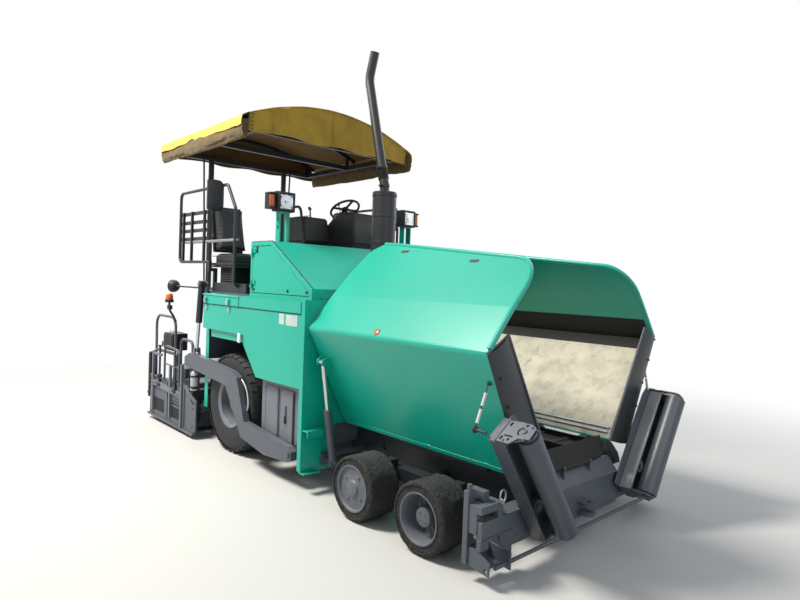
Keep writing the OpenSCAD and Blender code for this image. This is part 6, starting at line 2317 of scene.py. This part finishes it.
    def _gear(self) -> None:
        """Hang the spray bottle, the control box and the beacon on their brackets."""
        body = "extension"
        bottle, straps = Shape(), Shape()
        low = (-0.785, 1.222, 0.572)
        bottle.lathe(low, UP, [(0.0, 0.0), (0.038, 0.0), (0.044, 0.008), (0.044, 0.205), (0.036, 0.222),
                               (0.020, 0.230), (0.018, 0.244), (0.0, 0.246)], 32)
        self.put(bottle, "spray_bottle", body, GAS_BOTTLE)
        for z in (0.612, 0.742):
            straps.lathe((low[0], low[1], z), UP,
                         [(0.044, -0.012), (0.047, -0.010), (0.047, 0.010), (0.044, 0.012)], 32)
        straps.block((-0.800, 1.232, 0.400), (-0.770, 1.246, 0.604))
        straps.block((-0.850, 1.170, 0.592), (-0.740, 1.262, 0.601))
        straps.block((-0.850, 1.170, 0.592), (-0.842, 1.262, 0.790))
        self.put(straps, "spray_bottle_straps", body, DARK_ENAMEL, bevel=0.001)
        box = Shape()
        box.block((-2.190, 0.850, 0.915), (-1.880, 1.060, 1.150))
        box.block((-2.180, 1.055, 0.935), (-1.890, 1.072, 1.130))
        box.rod((-1.930, 0.950, 0.700), (-1.930, 0.950, 0.920), 0.024, 20)
        self.put(box, "screed_box", body, BLACK_PLASTIC, bevel=0.014)
        knobs = Shape()
        for x in (-2.14, -2.08, -2.02, -1.96):
            knobs.lathe((x, 0.900, 1.149), UP, [(0.012, 0), (0.010, 0.014), (0, 0.016)], 16)
            knobs.rod((x, 0.990, 1.149), (x - 0.008, 0.990, 1.185), 0.004, 8)
        self.put(knobs, "screed_box_knobs", body, ZINC_STEEL)
        spot = (-1.527, 1.256, 1.600)
        stalk = Shape()
        stalk.pipe(curve_through([(-1.560, 1.150, 1.340), (-1.560, 1.190, 1.420), (-1.540, 1.245, 1.500),
                                  spot], 8), 0.014, 14)
        stalk.lathe(spot, UP, [(0.0, -0.006), (0.052, -0.004), (0.054, 0.030), (0.046, 0.038), (0.0, 0.038)],
                    32)
        stalk.block((-1.585, 1.225, 1.505), (-1.500, 1.262, 1.560))
        self.put(stalk, "beacon_stalk", body, BLACK_PLASTIC, bevel=0.002)
        lens = Shape()
        lens.lathe(spot, UP, [(0.044, 0.036), (0.047, 0.042), (0.045, 0.085), (0.036, 0.106), (0.018, 0.116),
                              (0.0, 0.118)], 36)
        self.put(lens, "screed_beacon", body, AMBER_LENS)

    def _extension(self) -> None:
        """Lay the extension's lids, grips and the walkway's anti-slip pips."""
        body = "extension"
        lids = Shape().block((-1.98, 0.16, 0.709), (-1.58, 0.94, 0.716))
        for y in (0.30, 0.55, 0.80):
            lids.block((-1.96, y - 0.09, 0.715), (-1.60, y + 0.09, 0.724))
        self.put(lids, "extension_lids", body, SCREED_STEEL, bevel=0.004)
        grips = Shape()
        for y in (0.30, 0.55, 0.80):
            grips.pipe(curve_through([(-1.72, y - 0.05, 0.722), (-1.72, y - 0.05, 0.748),
                                      (-1.72, y + 0.05, 0.748), (-1.72, y + 0.05, 0.722)], 5), 0.006, 8)
        self.put(grips, "extension_grips", body, DARK_ENAMEL)
        walk = Shape()
        for i in range(38):
            for j in range(7):
                walk.lathe((-2.265 + 0.032 * j, 0.06 + 0.031 * i, 0.325), UP,
                           [(0.007, 0), (0.005, 0.003), (0.0, 0.003)], 8)
        self.put(walk, "walkway_grip", body, TREAD_PLATE)

    def _main(self) -> None:
        """Lay the fixed screed's lids and stand its crown spindles and the gas bottle."""
        lids = Shape()
        for y in (0.33, 0.66, 0.95):
            lids.block((-1.46, y - 0.13, 0.589), (-1.13, y + 0.09, 0.598))
        self.put(lids, "screed_lids", "screed", SCREED_STEEL, bevel=0.004)
        spindle = Shape()
        for x in (-1.22, -1.34):
            spindle.rod((x, 1.02, 0.56), (x, 1.02, 0.86), 0.016, 20)
            for k in range(14):
                spindle.lathe((x, 1.02, 0.62 + 0.016 * k), UP, [(0.016, -0.004), (0.020, 0), (0.016, 0.004)],
                              20)
            spindle.lathe((x, 1.02, 0.86), UP, [(0.030, 0), (0.030, 0.02), (0.012, 0.03), (0, 0.03)], 6)
        self.put(spindle, "screed_spindles", "screed", DARK_ENAMEL)
        if self.side is Side.RIGHT:
            bottle = Shape()
            bottle.lathe((-1.24, 0.70, 0.590), UP,
                         [(0.0, 0.0), (0.086, 0.0), (0.098, 0.012), (0.100, 0.03), (0.100, 0.26),
                          (0.090, 0.305), (0.062, 0.335), (0.034, 0.345), (0.030, 0.365), (0.0, 0.365)], 40)
            bottle.piece("gas_bottle", "screed", GAS_BOTTLE, self.side)

    def _work_lamp(self) -> None:
        """Hold the round rear work lamp out on its arm."""
        y, z = 1.020, 1.800
        shape = Shape()
        shape.pipe(curve_through([(-0.690, y, 1.762), (-0.740, y, 1.790), (-0.860, y, z),
                                  (-1.940, y, z)], 8), 0.011, 12)
        shape.lathe((-1.980, y, z), (-1, 0.35, 0),
                    [(0.0, -0.070), (0.040, -0.064), (0.072, -0.036), (0.086, 0.0), (0.088, 0.030),
                     (0.080, 0.036)], 40)
        shape.block((-1.962, y - 0.010, z - 0.030), (-1.926, y + 0.010, z + 0.016))
        self.put(shape, "work_lamp", "tractor", BLACK_PLASTIC)
        lens = Shape().lathe((-1.980, y, z), (-1, 0.35, 0), [(0.081, 0.030), (0.060, 0.036), (0.0, 0.040)],
                             40)
        self.put(lens, "work_lamp_lens", "tractor", LAMP_GLASS)


def both(*kinds: type[Sided]) -> None:
    """Build sub-assemblies on the right and then on the left, one kind after the other.

    Args:
        kinds: their classes.
    """
    for kind in kinds:
        for side in Side:
            kind(side).build()


def dress() -> None:
    """Make every piece of the scene."""
    Studio().build()
    Repaint().build()
    Canopy().build()
    both(Awning, Seat, RearWheel)
    for axle, x in FRONT_AXLES:
        for side in Side:
            FrontWheel(side, axle, x).build()
    Exhaust().build()
    both(Lamps)
    Hood().build()
    both(BodySides, HopperWing, PushRoller, FrontBeam)
    OperatorStand().build()
    both(SeatStation, Screed)


def main() -> None:
    """Dress the machine."""
    logging.basicConfig(level=logging.INFO, format="%(message)s")
    dress()


if __name__ == "__main__":
    main()
